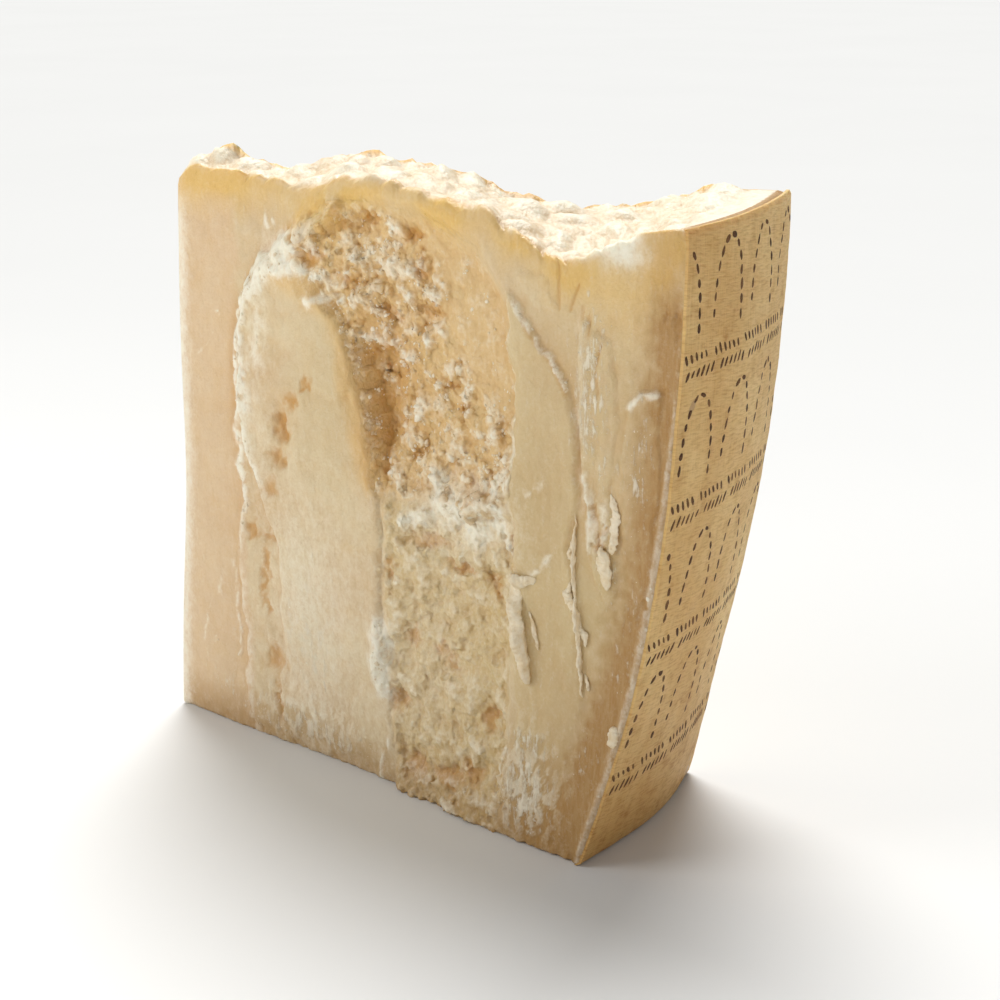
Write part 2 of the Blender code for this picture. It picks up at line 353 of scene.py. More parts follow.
@dataclass(frozen=True)
class Gleam:
    """What stays the same all over a finish, set on the shader's own sockets."""

    roughness: float = 0.5
    specular: float = 0.4
    scatter: float = 0.0
    scatter_depth: float = 0.004
    scatter_reach: tuple[float, float, float] = (1.0, 0.5, 0.2)


class Finish(Tree):
    """A material under way: its tree and its Principled shader."""

    def __init__(self, name: str, gleam: Gleam) -> None:
        """Open a material and set what stays the same all over it."""
        self.material = bpy.data.materials.new(name)
        self.material.use_nodes = True
        super().__init__(self.material.node_tree)
        sockets = ("Roughness", "Specular_IOR_Level", "Subsurface_Weight", "Subsurface_Scale",
                   "Subsurface_Radius")
        self.paint(**dict(zip(sockets, astuple(gleam))))

    def paint(self, **sockets: Any) -> bpy.types.Material:
        """Feed the shader's sockets, and return the material."""
        self.feed_all(self.nodes.nodes["Principled BSDF"], sockets)
        return self.material

    def relief(self, height: Value, depth: float) -> Value:
        """A normal bent by a height."""
        return self.node("ShaderNodeBump", {}, Height=height, Distance=depth, Strength=1.0)


# --- Finishes ---

@dataclass(frozen=True)
class PasteFinish:
    """Aged paste: cream where it split smooth, golden in its hollows, chalky on its crests; the gold is
    partly painted shade, the chalk partly painted highlight, and a yellow band under the top is painted glow.
    """

    cream: Colour = srgb(229, 209, 170)
    tan: Colour = srgb(221, 195, 154)
    rose: Colour = srgb(228, 196, 156)
    honey: Colour = srgb(230, 194, 134)
    straw: Colour = srgb(212, 190, 136)
    amber: Colour = srgb(204, 146, 60)
    painted_glow: Colour = srgb(234, 192, 106)
    # colour of the painted glow of light through the thin paste
    umber: Colour = srgb(180, 136, 76)
    chalk: Colour = srgb(255, 248, 229)
    grain: float = 0.0014
    gleam: Gleam = Gleam(0.45, 0.4, 0.4, 0.0015, (1.0, 0.92, 0.80))

    def material(self) -> bpy.types.Material:
        """The finish as a material, which reads the masks that each mesh of paste carries."""
        tree = Finish("paste", self.gleam)
        place = tree.place()
        crumb, pit_shade, pale, glow, brown, frost, rosy, honey, olive = map(
            tree.mask, ("crumb", "pit_shade", "pale", "glow", "brown", "frost", "rosy", "honey", "olive"))
        broad, middling, fine = (tree.cloud(place, size) for size in (0.034, 0.006, 0.0009))
        flecked = tree.cloud(place, (0.0022, 0.0022, 0.0036), detail=4.0, rough=0.65)
        streaks = tree.cloud(place, (0.0012, 0.0012, 0.0100), detail=5.0, rough=0.65)
        grains = tree.vector("DIVIDE", place, (self.grain,) * 3)
        grains = tree.node("ShaderNodeTexVoronoi", {}, Scale=1.0, Vector=grains)

        ragged = (flecked - 0.5) * 1.6 + (fine - 0.5) * 0.6
        flecks = (frost * 0.5 + (streaks - 0.5) * 1.6 + (flecked - 0.5) * 1.2).step(0.36, 0.66)
        flecks = flecks * (frost * 0.4 + 0.5)
        crests = (pale + ragged * 0.5) * (1.0 - glow * 0.7)
        shade = (fine - 0.5) * 0.16 + (flecked - 0.5) * 0.22 + (streaks - 0.5) * 0.10
        colour = tree.layers(
            self.cream, (self.tan, broad.step(0.35, 0.68)), (self.rose, rosy),
            (self.honey, middling.step(0.42, 0.66) * 0.15), (self.honey, honey), (self.straw, olive),
            # painted glow: yellow where light shines through the thin paste under the top edge
            (self.painted_glow, glow * 0.85),
            # painted shade: amber in pits, cracks and hollows, partly the paste's own gold
            (self.amber, (pit_shade * (ragged * 0.8 + middling * 0.8 + 0.5)).kept()),
            (self.umber, (brown * (streaks * 0.9 + 0.45)).kept()),
            # chalk on flecks and pale crests; pale also carries painted highlights on edges and raised crumb
            (self.chalk, tree.math("MAXIMUM", flecks * 0.75, crests.step(0.05, 1.25) * 0.95).kept()),
            (self.chalk, (shade * 1.6).kept()), (self.umber, (shade * -1.8).kept()))
        bumps = (1.0 - grains) * crumb * 0.35 + fine * 0.25 + flecked * 0.75 + streaks * (1.0 - crumb) * 0.35
        return tree.paint(Base_Color=colour, Normal=tree.relief(bumps + flecks * 0.35, 0.0006),
                          Roughness=(flecked * 0.45 + frost * 0.25 - glow * 0.1 + 0.22).kept())


@dataclass(frozen=True)
class RindFinish:
    """Dry, tan rind with the fine weave of the cloth it was pressed in, browner at its foot, paler towards
    its back edge as painted light.
    """

    tan: Colour = srgb(216, 172, 106)
    pale: Colour = srgb(238, 203, 140)
    brown: Colour = srgb(166, 110, 42)
    thread: float = 0.0007
    gleam: Gleam = Gleam(0.62, 0.3, 0.25, 0.003)

    def material(self) -> bpy.types.Material:
        """The finish as a material; the mesh's own map is metres along the rind and up it."""
        tree = Finish("rind", self.gleam)
        sheet = tree.node("ShaderNodeUVMap", {"uv_map": "sheet"})
        foot = tree.node("ShaderNodeSeparateXYZ", {}, tree.place(), pick="Z").step(0.075, 0.0)
        # painted light: paler towards the back edge, which the lamps light less
        far = tree.node("ShaderNodeSeparateXYZ", {}, sheet, pick="X").step(0.035, 0.085)
        broad = tree.cloud(sheet, (0.030, 0.045, 1.0))
        blots = tree.cloud(sheet, (0.008, 0.008, 1.0))
        slanted = tree.node("ShaderNodeVectorRotate", {"rotation_type": "Z_AXIS"}, Vector=sheet, Angle=0.10)
        threads = tree.cloud(slanted, (0.0045, self.thread, 1.0), detail=3.0, rough=0.6)
        wefts = tree.cloud(sheet, (self.thread, 0.012, 1.0), detail=2.0)
        weave = threads * 0.65 + wefts * 0.35
        lines = (threads * 0.75 + wefts * 0.25).step(0.54, 0.36)
        colour = tree.layers(
            self.tan, (self.pale, (broad.step(0.35, 0.7) * 0.6 + (weave - 0.5) * 0.9 + far * 0.5).kept()),
            (self.brown, (foot * (blots * 0.6) + lines * 0.32 + blots.step(0.50, 0.75) * 0.30).kept()))
        return tree.paint(Base_Color=colour, Roughness=(blots * 0.2 + 0.5).kept(),
                          Normal=tree.relief(weave + blots * 0.3, 0.0004))


@dataclass(frozen=True)
class MarkFinish:
    """The dark marks pressed into the rind."""

    dark: Colour = srgb(74, 46, 26)
    worn: Colour = srgb(136, 96, 58)
    gleam: Gleam = Gleam(0.7, 0.2)

    def material(self) -> bpy.types.Material:
        """The finish as a material, each mark worn by its own amount."""
        tree = Finish("marks", self.gleam)
        place = tree.place()
        wear = tree.cloud(place, 0.007) * 0.7 + tree.cloud(place, 0.0006) * 0.5
        return tree.paint(Base_Color=tree.layers(self.dark, (self.worn, wear.step(0.45, 0.85))),
                          Roughness=wear * 0.3 + 0.55)


@dataclass(frozen=True)
class FloorFinish:
    """A plain pale floor."""

    pale: Colour = srgb(226, 226, 224)
    paler: Colour = srgb(230, 230, 228)
    gleam: Gleam = Gleam(0.9, 0.1)

    def material(self) -> bpy.types.Material:
        """The finish as a material."""
        tree = Finish("floor", self.gleam)
        return tree.paint(Base_Color=tree.layers(self.pale, (self.paler, tree.cloud(tree.place(), 0.4))))


# --- The wedge ---

class Side(Enum):
    """The upright sides of the wedge, anticlockwise from above."""

    FRONT = "front"
    RIND = "rind"
    BACK = "back"
    TIP = "tip"


@dataclass(frozen=True)
class Patch:
    """A part of the front with its own level: positive stands out from the face, negative is sunk."""

    outline: tuple[Point, ...]
    level: float
    slope: float
    lumps: float        # height of the crumb on it
    crumb: float        # how grainy it looks, 0 to 1
    fades_at: float     # half of its level is left at this height, and none at the base
    honey: float = 0.0
    olive: float = 0.0
    frost: float = 0.0
    waxy: float = 0.0   # 1 where the crumb has melted into soft lumps


@dataclass(frozen=True)
class Mound:
    """A round rise, or with a negative height a hollow, on one side of the wedge."""

    x: float
    z: float
    half_width: float
    half_height: float
    height: float

    def share(self, x: Array, z: Array) -> Array:
        """How much of the mound there is at each point."""
        return bell(x - self.x, self.half_width) * bell(z - self.z, self.half_height)


@dataclass(frozen=True)
class Ridge:
    """A crest of pale crumb along a run of points, or with a negative height a crack."""

    half_width: float
    height: float
    pale: float
    path: tuple[Point, ...]

    def share(self, x: Array, z: Array) -> Array:
        """How much of the ridge there is at each point."""
        runs = [distance_to_run(x, z, a, b) for a, b in zip(self.path, self.path[1:])]
        return bell(np.minimum.reduce(runs), self.half_width)


def mound_rows(*table: Sequence[int], per: int = TENTHS) -> tuple[Mound, ...]:
    """Mounds from rows of x, z, half width and half height in tenths of a millimetre, and height.

    Args:
        *table: The rows.
        per: What the heights are parts of: tenths of a millimetre, or percent for a mask's amount.

    Returns:
        The mounds.
    """
    return tuple(Mound(*tenths(*row[:-1]), row[-1] / per) for row in table)


def ridge_rows(*table: Sequence[int]) -> tuple[Ridge, ...]:
    """Ridges from rows of half width and height in tenths of a millimetre, paleness in percent, and run."""
    return tuple(Ridge(*tenths(*row[:2]), row[2] / PERCENT, run(*row[3:])) for row in table)


@dataclass(frozen=True)
class Wheel:
    """The wheel that the wedge was broken from, with its axis at x = y = 0."""

    radius: float = 0.210
    bulge_level: float = 0.185
    bulge_curve: float = 0.838
    angle: float = math.radians(21.7)
    foot_spread: float = 0.0036
    top: float = 0.196
    tip_base_x: float = -0.0054
    tip_lean: float = 0.0700
    tip_dent: float = 0.0026
    tip_dent_level: float = 0.088
    axis: tuple[float, float, float] = (-0.1024, -0.0357, 0.0)

    def rind_radius(self, z: Array, share: Any) -> Array:
        """Distance of the rind from the axis, at a height and a share of the way from front to back."""
        spread = self.foot_spread * ramp(0.018 - z, 0.060) * ramp(share - 0.30, 0.60)
        return self.radius - self.bulge_curve * (z - self.bulge_level) ** 2 + spread

    def tip_x(self, z: Array) -> Array:
        """Where the thin end's front edge is at a height."""
        return self.tip_base_x + self.tip_lean * z + self.tip_dent * bell(z - self.tip_dent_level, 0.040)

    def in_part(self, points: Array) -> Array:
        """Points moved from the wheel's frame to the part's."""
        return points + np.array(self.axis)


SHOULDER = run(500, 1680, 580, 1810, 720, 1900, 900, 1940, 1040, 1870, 1160, 1780, 1240, 1680, 1190, 1570,
               1290, 1470, 1380, 1360, 1500, 1280, 1500, 1120, 1400, 1020, 1180, 1040, 940, 1010, 880,
               1120, 840, 1300, 810, 1460, 770, 1560, 670, 1600, 600, 1630)
FLAKE = Patch(
    run(810, 1900, 680, 1830, 570, 1770, 490, 1690, 420, 1600, 385, 1480, 365, 1280, 370, 1040, 440, 910,
        500, 740, 520, 400, 530, -200, 1020, -200, 995, 400, 980, 660, 1000, 880, 980, 1010, 945, 1140,
        910, 1300, 875, 1440, 830, 1550, 740, 1650, 660, 1750),
    level=0.0036, slope=0.0045, lumps=0.0, crumb=0.0, fades_at=0.040)
LEDGE = Patch(
    run(470, 1720, 400, 1630, 355, 1550, 335, 1450, 310, 1280, 305, 1100, 320, 930, 330, 840, 290, 700,
        300, 500, 310, 300, 320, -200, 1020, -200, 995, 400, 980, 660, 1000, 880, 980, 1010, 945, 1140,
        910, 1300, 875, 1440, 830, 1550, 700, 1650, 570, 1760),
    level=0.0009, slope=0.0012, lumps=0.0005, crumb=0.10, fades_at=0.010)
BOWL = Patch(
    run(640, 1740, 760, 1880, 920, 1920, 1160, 1900, 1360, 1820, 1470, 1660, 1510, 1400, 1490, 1200, 1410,
        1080, 1240, 1030, 1040, 1010, 940, 1060, 880, 1220, 840, 1420, 760, 1600),
    level=-0.0045, slope=0.010, lumps=0.0006, crumb=0.25, fades_at=0.010, honey=0.8)
CLEFT = Patch(
    run(840, 1540, 910, 1540, 1000, 1480, 1040, 1340, 1010, 1160, 970, 1030, 940, 1040, 905, 1220, 875,
        1440),
    level=-0.0030, slope=0.014, lumps=0.0, crumb=0.9, fades_at=0.010, honey=0.9)
TORN = Patch(SHOULDER, level=0.0, slope=0.006, lumps=0.0017, crumb=1.0, fades_at=0.010, honey=0.9)
STRIP = Patch(
    run(990, 1010, 1220, 1000, 1490, 1040, 1520, 820, 1480, 560, 1490, 300, 1460, -200, 1010, -200, 1010,
        260, 990, 500, 960, 700),
    level=-0.0028, slope=0.006, lumps=0.0012, crumb=0.55, fades_at=0.008, honey=0.5, olive=0.55, waxy=1.0)
OPENED = run(640, 1740, 700, 1830, 780, 1885, 920, 1925, 1160, 1905, 1360, 1825, 1465, 1700, 1505, 1600,
             1495, 1400, 1510, 1240, 1490, 1120, 1515, 1000, 1520, 820, 1495, 560, 1500, 300, 1460, -200,
             960, -200, 960, 200, 940, 600, 940, 900, 900, 1100, 860, 1300, 840, 1440, 800, 1550, 700, 1650)
POINTED_FLAKE = Patch(
    run(1495, 1715, 1535, 1670, 1560, 1625, 1640, 1550, 1695, 1470, 1735, 1400, 1740, 1150, 1720, 1000,
        1745, 820, 1775, 520, 1720, 300, 1540, 300, 1515, 600, 1525, 1000, 1485, 1120, 1525, 1240, 1505,
        1340, 1510, 1430, 1480, 1500, 1500, 1610),
    level=0.0016, slope=0.0022, lumps=0.0, crumb=0.0, fades_at=0.075, honey=0.1, olive=0.35, frost=0.3)
PEELED = Patch(
    run(1515, 1780, 1620, 1770, 1660, 1680, 1585, 1685, 1550, 1730),
    level=0.0005, slope=0.0010, lumps=0.0, crumb=0.0, fades_at=0.010)
SCALES = Patch(
    run(1760, 1680, 1850, 1600, 1880, 1400, 1860, 1220, 1890, 1040, 1880, 880, 1850, 840, 1815, 920, 1790,
        1080, 1760, 1240, 1750, 1460),
    level=0.0007, slope=0.0012, lumps=0.0004, crumb=0.15, fades_at=0.010, frost=0.75)
RIND_FLAKE = Patch(
    run(1920, 1470, 2020, 1490, 2020, 1200, 1990, 900, 1950, 800, 1910, 1100, 1900, 1320),
    level=0.0006, slope=0.0010, lumps=0.0, crumb=0.0, fades_at=0.010, frost=0.45)


@dataclass(frozen=True)
class FrontFace:
    """The broken front: a smooth flake, a grainy bowl with a cleft, and a waxy strip below."""

    patches: tuple[Patch, ...] = (
        FLAKE, LEDGE, BOWL, CLEFT, TORN, STRIP, POINTED_FLAKE, PEELED, SCALES, RIND_FLAKE)
    mounds: tuple[Mound, ...] = mound_rows(
        (1545, 690, 50, 200, 12), (1740, 800, 40, 320, 6), (1045, 1720, 70, 60, 22),
        (960, 1640, 50, 30, 16), (1360, 1070, 160, 50, 14), (955, 470, 30, 110, 16),
        (900, 1740, 80, 90, 12), (920, 1500, 50, 30, 12))
    pits: tuple[Mound, ...] = mound_rows(
        (560, 1165, 36, 65, -28), (540, 1050, 38, 36, -22), (615, 1255, 34, 26, -10),
        (690, 1320, 26, 20, -6), (500, 940, 30, 40, -12), (379, 760, 26, 26, -16), (437, 755, 28, 22, -14),
        (440, 660, 16, 60, -8), (412, 587, 16, 50, -9), (433, 510, 14, 45, -9), (455, 320, 42, 50, -16),
        (471, 140, 16, 100, -14), (711, 1752, 62, 38, -8), (866, 1678, 50, 26, -20),
        (1091, 1835, 44, 26, -14), (1130, 1755, 26, 40, -14), (1178, 1623, 32, 26, -18),
        (1226, 1387, 20, 18, -14), (1280, 1330, 30, 18, -12), (1010, 1590, 30, 24, -12),
        (1163, 891, 70, 30, -22), (1289, 823, 60, 20, -16), (1421, 791, 26, 34, -18),
        (1037, 764, 22, 30, -14), (1025, 326, 48, 44, -22), (1100, 550, 40, 34, -12),
        (1206, 532, 30, 30, -10), (1255, 500, 24, 36, -10), (1410, 350, 26, 50, -14),
        (1120, 100, 60, 40, -14), (1249, 110, 70, 40, -16), (1347, 156, 50, 40, -14),
        (1810, 1114, 18, 40, -14), (1839, 1045, 16, 36, -14), (1505, 935, 9, 50, -16),
        (2030, 1500, 14, 18, -8), (2030, 1730, 14, 22, -8), (2085, 1705, 12, 36, -12),
        (1500, 100, 10, 14, -10))
    ridges: tuple[Ridge, ...] = ridge_rows(
        (52, 10, 100, 440, 1600, 506, 1678, 585, 1733, 640, 1785),
        (30, 12, 100, 640, 1785, 715, 1834, 756, 1879, 813, 1911),
        (26, 10, 100, 580, 1690, 640, 1693, 700, 1690, 763, 1680),
        (30, 3, 70, 410, 1560, 390, 1400, 400, 1200), (40, 2, 50, 500, 1560, 480, 1380),
        (28, 10, 90, 783, 1910, 845, 1876), (30, 10, 75, 870, 1770, 930, 1730, 1000, 1715, 1085, 1740),
        (18, 10, 90, 700, 1600, 760, 1612, 834, 1605), (22, 10, 80, 900, 1655, 984, 1654),
        (18, 8, 60, 875, 1510, 924, 1506, 980, 1500),
        (30, 16, 100, 1190, 1092, 1212, 1060, 1210, 1035, 1259, 1023, 1323, 1012),
        (27, 14, 100, 1323, 1012, 1355, 1038, 1403, 1085, 1446, 1132, 1477, 1176),
        (28, 10, 90, 1350, 1038, 1355, 980, 1362, 940),
        (26, 12, 100, 1446, 1045, 1430, 1009, 1453, 976, 1488, 934),
        (22, 10, 80, 1080, 947, 1131, 961, 1180, 965),
        (13, 6, 70, 1490, 1700, 1497, 1604, 1475, 1497, 1508, 1428),
        (13, 6, 70, 1508, 1428, 1501, 1311, 1519, 1241, 1473, 1115),
        (27, 8, 100, 985, 570, 975, 476, 965, 396, 975, 336), (10, 6, 70, 985, 161, 960, 80, 944, 6),
        (10, 6, 70, 1490, 286, 1462, 225, 1472, 170),
        (8, 5, 80, 1509, 1700, 1535, 1665, 1560, 1620, 1640, 1545, 1695, 1462),
        (11, 6, 95, 1915, 1448, 1971, 1471, 2011, 1483), (22, 10, 70, 1795, 1150, 1808, 1080, 1812, 1010),
        (20, 10, 70, 1845, 1150, 1850, 1080, 1846, 1030), (14, 6, 80, 1770, 1200, 1790, 1120, 1800, 1000),
        (8, 2, 80, 495, 1850, 502, 1812), (7, 2, 70, 522, 1845, 530, 1818),
        (9, 2, 80, 236, 1500, 242, 1494), (4, 1, 50, 214, 1426, 133, 1343), (5, 2, 60, 133, 436, 84, 282),
        (8, 2, 50, 195, 574, 194, 492), (7, 2, 70, 150, 322, 143, 297),
        (7, 3, 60, 265, 627, 268, 442, 267, 279), (9, 4, 70, 1640, 950, 1585, 880),
        (9, 3, 60, 1570, 1120, 1620, 1160))
    cracks: tuple[Ridge, ...] = ridge_rows(
        (5, -8, 0, 1674, 1822, 1675, 1691), (5, -8, 0, 1744, 1765, 1714, 1690),
        (5, -8, 0, 1756, 1704, 1756, 1673), (5, -8, 0, 1780, 1679, 1781, 1628),
        (5, -10, 0, 1825, 1604, 1805, 1530, 1818, 1461),
        (6, -8, 0, 1545, 1662, 1570, 1610, 1650, 1535, 1708, 1445), (5, -6, 0, 1745, 1360, 1750, 1200),
        (4, -3, 0, 340, 1480, 318, 1280, 312, 1080), (4, -4, 0, 400, 1500, 390, 1400, 400, 1300),
        (5, -10, 0, 1475, 270, 1478, 190), (8, -10, 0, 815, 40, 812, -10))
    frosted: tuple[Mound, ...] = mound_rows(
        (1790, 1450, 75, 300, 100), (1840, 1000, 60, 260, 60), (1580, 170, 120, 140, 130),
        (1600, 330, 100, 60, 110), (620, 100, 400, 100, 80), (640, 420, 180, 200, 70),
        (1960, 1260, 70, 220, 80), (200, 160, 140, 120, 50), (680, 480, 120, 200, 45),
        (1920, 700, 80, 400, 50), (380, 1350, 40, 240, 50), (1640, 1180, 80, 160, 35),
        (400, 1600, 50, 70, 60), (240, 480, 30, 120, 35), (1800, 300, 60, 200, 50), per=PERCENT)
    filled: tuple[Mound, ...] = mound_rows(
        (960, 820, 220, 300, 68), (985, 280, 140, 220, 26), (730, 1720, 120, 110, 50),
        (880, 1560, 100, 130, 40), (750, 1820, 110, 80, 24))
    tints: tuple[tuple[str, tuple[Mound, ...]], ...] = (
        # glow: painted glow of light through the paste, mostly under the top edge; its negative mound takes
        # the glow away where the painted highlight lies
        ("glow", mound_rows((270, 1955, 160, 60, 90), (898, 1945, 70, 45, 70), (1243, 1930, 70, 60, 90),
            (1520, 1870, 60, 45, 70), (1684, 1820, 60, 50, 60), (2010, 1860, 60, 90, 80),
            (1890, 1770, 210, 100, 50), (2025, 1910, 60, 60, 60), (1880, 1880, 110, 60, -100),
            (770, 1860, 90, 60, 70), (1240, 500, 280, 600, 15), per=PERCENT)),
        # pale: the first mound is a painted highlight where the crest near the rind catches the light; the
        # rest whiten crumb
        ("pale", mound_rows((1880, 1875, 110, 60, 100), (1758, 1430, 30, 300, 45), (440, 1200, 70, 330, 30),
            (650, 500, 260, 500, 55), (610, 1740, 70, 50, 30), (560, 1740, 80, 70, 50),
            (975, 440, 40, 140, 50), (1320, 1000, 220, 140, 65), (1240, 480, 280, 560, 44),
            (1080, 460, 120, 500, 15), per=PERCENT)),
        ("honey", mound_rows((1930, 1680, 110, 130, 50), per=PERCENT)),
        ("brown", mound_rows((2030, 1720, 60, 180, 30), (790, 1280, 130, 330, 10), (1600, 1050, 130, 340, 10),
            per=PERCENT)),
        ("olive", mound_rows((780, 1300, 140, 350, 30), (1620, 980, 160, 400, 15), (1850, 820, 120, 240, 20),
            per=PERCENT)),
        ("rosy", mound_rows((1780, 1200, 200, 400, 35), per=PERCENT)),
        # pit: painted shade over the cleft and the bowl beside it
        ("pit_shade", mound_rows((1050, 1380, 120, 240, 30), (965, 1230, 70, 220, 45), (960, 1500, 90, 120, 40),
            per=PERCENT)),
        ("frost", mound_rows((1640, 950, 200, 400, -30), per=PERCENT)))
    twist: float = 0.0065
    slow_bend: float = 0.0016       # how far its outlines wander, in broad bends and in short ones
    fast_bend: float = 0.0008

    def turned(self, x: Array, z: Array) -> Array:
        """How far the face's twist stands out, at its foot near the rind."""
        return self.twist * ramp(x - 0.115, 0.09) * ramp(0.030 - z, 0.085)

    def shape(self, x: Array, z: Array, crest: Array, wheel: Wheel) -> tuple[Array, dict[str, Array]]:
        """Relief and masks of the front.

        Args:
            x: Distance from the wheel's axis along the face.
            z: Height.
            crest: Height of the top above each point.
            wheel: The wheel.

        Returns:
            How far the face stands out from its plane, and its masks.
        """
        flat = rows(x, 0.0, z)
        slow_x, slow_z = (self.slow_bend * waves(flat, 0.011, turn, 2)
                          for turn in ((2.2, 0.3, 4.1), (5.7, 9.1, 1.4)))
        fast_x, fast_z = (self.fast_bend * waves(flat, 0.0030, turn, 2)
                          for turn in ((8.1, 2.3, 0.7), (1.9, 6.6, 3.2)))
        torn = x + slow_x + fast_x, z + slow_z + fast_z
        broken = waves(flat, 0.0035, (0.4, 7.7, 2.5))
        pieces = ramp(broken + 0.40, 0.7)

        # the flat patches, and the paste that fills the sunken ones beside the flake
        proud = self.turned(x, z)
        straight = depth_inside(x + 0.4 * slow_x, z, FLAKE.outline) + 0.0004
        cut = ramp(straight + 0.0018, 0.0040 + 0.006 * ramp(z - 0.150, 0.014))
        total = dict.fromkeys(("crumb", "lumps", "honey", "olive", "frost", "waxy"), np.zeros(x.shape))
        for patch in self.patches:
            steep = min(1.0, 0.002 / patch.slope)   # gentle slopes stay smooth, short ones are ragged
            depth = depth_inside(x + slow_x + steep * fast_x, z + slow_z + steep * fast_z, patch.outline)
            share = ramp(depth, patch.slope) * (1.0 - cut if patch.level < 0.0 else 1.0)
            proud += patch.level * share * ramp(z - patch.fades_at, 2.0 * patch.fades_at)
            total = {name: np.maximum(values, getattr(patch, name) * share) for name, values in total.items()}
        beside = 1.0 - 0.55 * ramp(straight, FLAKE.slope) - 0.45 * cut
        for mound in self.filled:
            proud += mound.height * mound.share(x, z) * beside
        crumb, waxy = total["crumb"] * ramp(-straight, 0.0016), total["waxy"]
        ragged = 0.0014 * waves(flat, 0.0060, (3.3, 8.1, 0.2), 4)
        opened = np.minimum(depth_inside(x + slow_x, z + slow_z, OPENED) - 0.0010 + ragged, 0.0004 - straight)

        # rises, pits, crests and cracks
        for mound in self.mounds:
            proud += mound.height * mound.share(*torn)
        # dents and cracks take amber: partly the paste's own gold, partly painted shade
        pit_shade = np.zeros(x.shape)
        for mound in self.pits:
            share = mound.share(torn[0] + 2.2 * fast_x, torn[1] + 2.2 * fast_z)
            proud += mound.height * share
            pit_shade = np.maximum(pit_shade, 0.85 * ramp(share - 0.45, 0.8))
        # whitish rims along the upper edges of the ledge and the flake: crumb, partly a painted highlight
        # where they face the light
        edge = depth_inside(*torn, LEDGE.outline)
        rim = bell(edge - 0.0014, 0.0017) * (0.45 + 0.55 * ramp(z - 0.080, 0.030)) * ramp(0.060 - x, 0.010)
        edge = depth_inside(*torn, FLAKE.outline)
        rim = np.maximum(rim, bell(edge - 0.0012, 0.0026) * ramp(z - 0.095, 0.020) * ramp(0.060 - x, 0.016))
        pale = rim * pieces
        proud += 0.0007 * pale
        rindward = x - wheel.rind_radius(z, 0.0)
        corner = bell(rindward + 0.0017 + 0.4 * fast_x, 0.0010 + 0.0010 * bell(z - 0.060, 0.060))
        corner = corner * ramp(0.150 - z, 0.05) * ramp(waves(flat, 0.006, (8.0, 1.0, 4.0)) + 0.60, 0.4)
        proud += 0.0011 * corner
        pale = np.maximum(pale, 0.55 * corner)
        for ridge in self.ridges:
            share = ridge.share(*torn) * pieces
            proud += ridge.height * share
            pale = np.maximum(pale, ridge.pale * share)
        for crack in self.cracks:
            share = crack.share(x + 0.4 * fast_x, z)
            proud += 0.5 * crack.height * share
            pit_shade = np.maximum(pit_shade, 0.6 * share)

        # crumb, fibres, dust and the broad unevenness
        big, mid, small = (shards(flat, size, turn) for size, turn in (
            (0.0095, LUMPS), (0.0043, (0.2, 4.4, 8.8)), (0.0022, (6.1, 1.7, 5.3))))
        rough = waves(flat, 0.0050, (2.0, 2.0, 6.0), 4)
        grainy = total["lumps"] * 0.7 * big + crumb * (0.0006 * mid + 0.0003 * small + 0.0005 * rough)
        soft = 0.0017 * waves(flat, 0.0110, (4.4, 0.3, 9.2)) + 0.0010 * waves(flat, 0.0050, (7.0, 3.0, 1.0))
        proud += grainy * (1.0 - 0.65 * waxy) + soft * waxy
        fibres = waves(flat * np.array([1.0, 1.0, 0.12]), 0.0024, (1.2, 3.4, 5.6), 3)
        proud += 0.0003 * (ramp(x - 0.158, 0.020) * (1.0 - crumb)) * fibres * (0.4 + total["frost"])
        proud += 0.0009 * waves(flat, 0.030, LEVEL)
        proud += 0.0002 * (1.0 - crumb) * waves(flat, 0.008, (4.0, 4.0, 4.0))
        dusty = bell(x - 0.160, 0.014) * bell(z - 0.018, 0.019)
        dusty = held(1.1 * np.maximum(dusty, 0.5 * bell(x - 0.058, 0.035) * bell(z - 0.012, 0.012)))
        speckle = ramp(waves(flat * np.array([1.0, 1.0, 0.5]), 0.0026, (5.0, 1.0, 3.0), 5) + 0.05, 0.30)
        pale = np.maximum(pale, 0.60 * dusty * speckle)
        proud += 0.0004 * dusty * speckle
        proud -= 0.0009 * ramp(0.004 - z, 0.007) * (0.5 + waves(flat, 0.0036, (4.0, 9.0, 2.0), 3))

        # masks
        frost = total["frost"] * ramp(fibres + 0.2, 0.9)
        for mound in self.frosted:
            frost = np.maximum(frost, mound.height * mound.share(x, z))
        brown = 0.9 * ramp(rindward + 0.012 + 0.004 * broken, 0.016) + 0.55 * ramp(0.011 - z, 0.016)
        brown += 0.5 * ramp(rindward + 0.024, 0.03) * ramp(0.060 - z, 0.07)
        brown += 0.14 * bell(x - 0.163, 0.012) * bell(z - 0.130, 0.035)
        brown += 0.12 * ramp(rindward + 0.020, 0.02)
        brown += 0.35 * dusty * (1.0 - speckle)
        loose = 0.6 * ramp(pale - 0.4, 0.4) * ramp(z - 0.004, 0.004)
        below = crest - z + 0.0030 * waves(flat, 0.014, (1.0, 1.0, 1.0), 2)
        # painted highlight: whitish along the top edge and the thin end's edge
        for edge in (ramp(-0.0005 - below, 0.005), ramp(0.0006 - crest + z, 0.003),
                     bell(x - wheel.tip_x(z), 0.0050)):
            pale = np.maximum(pale, 0.85 * edge)
        straw = (0.32 + 0.2 * broken) * ramp(x - 0.155, 0.030) * ramp(0.170 - z, 0.05)
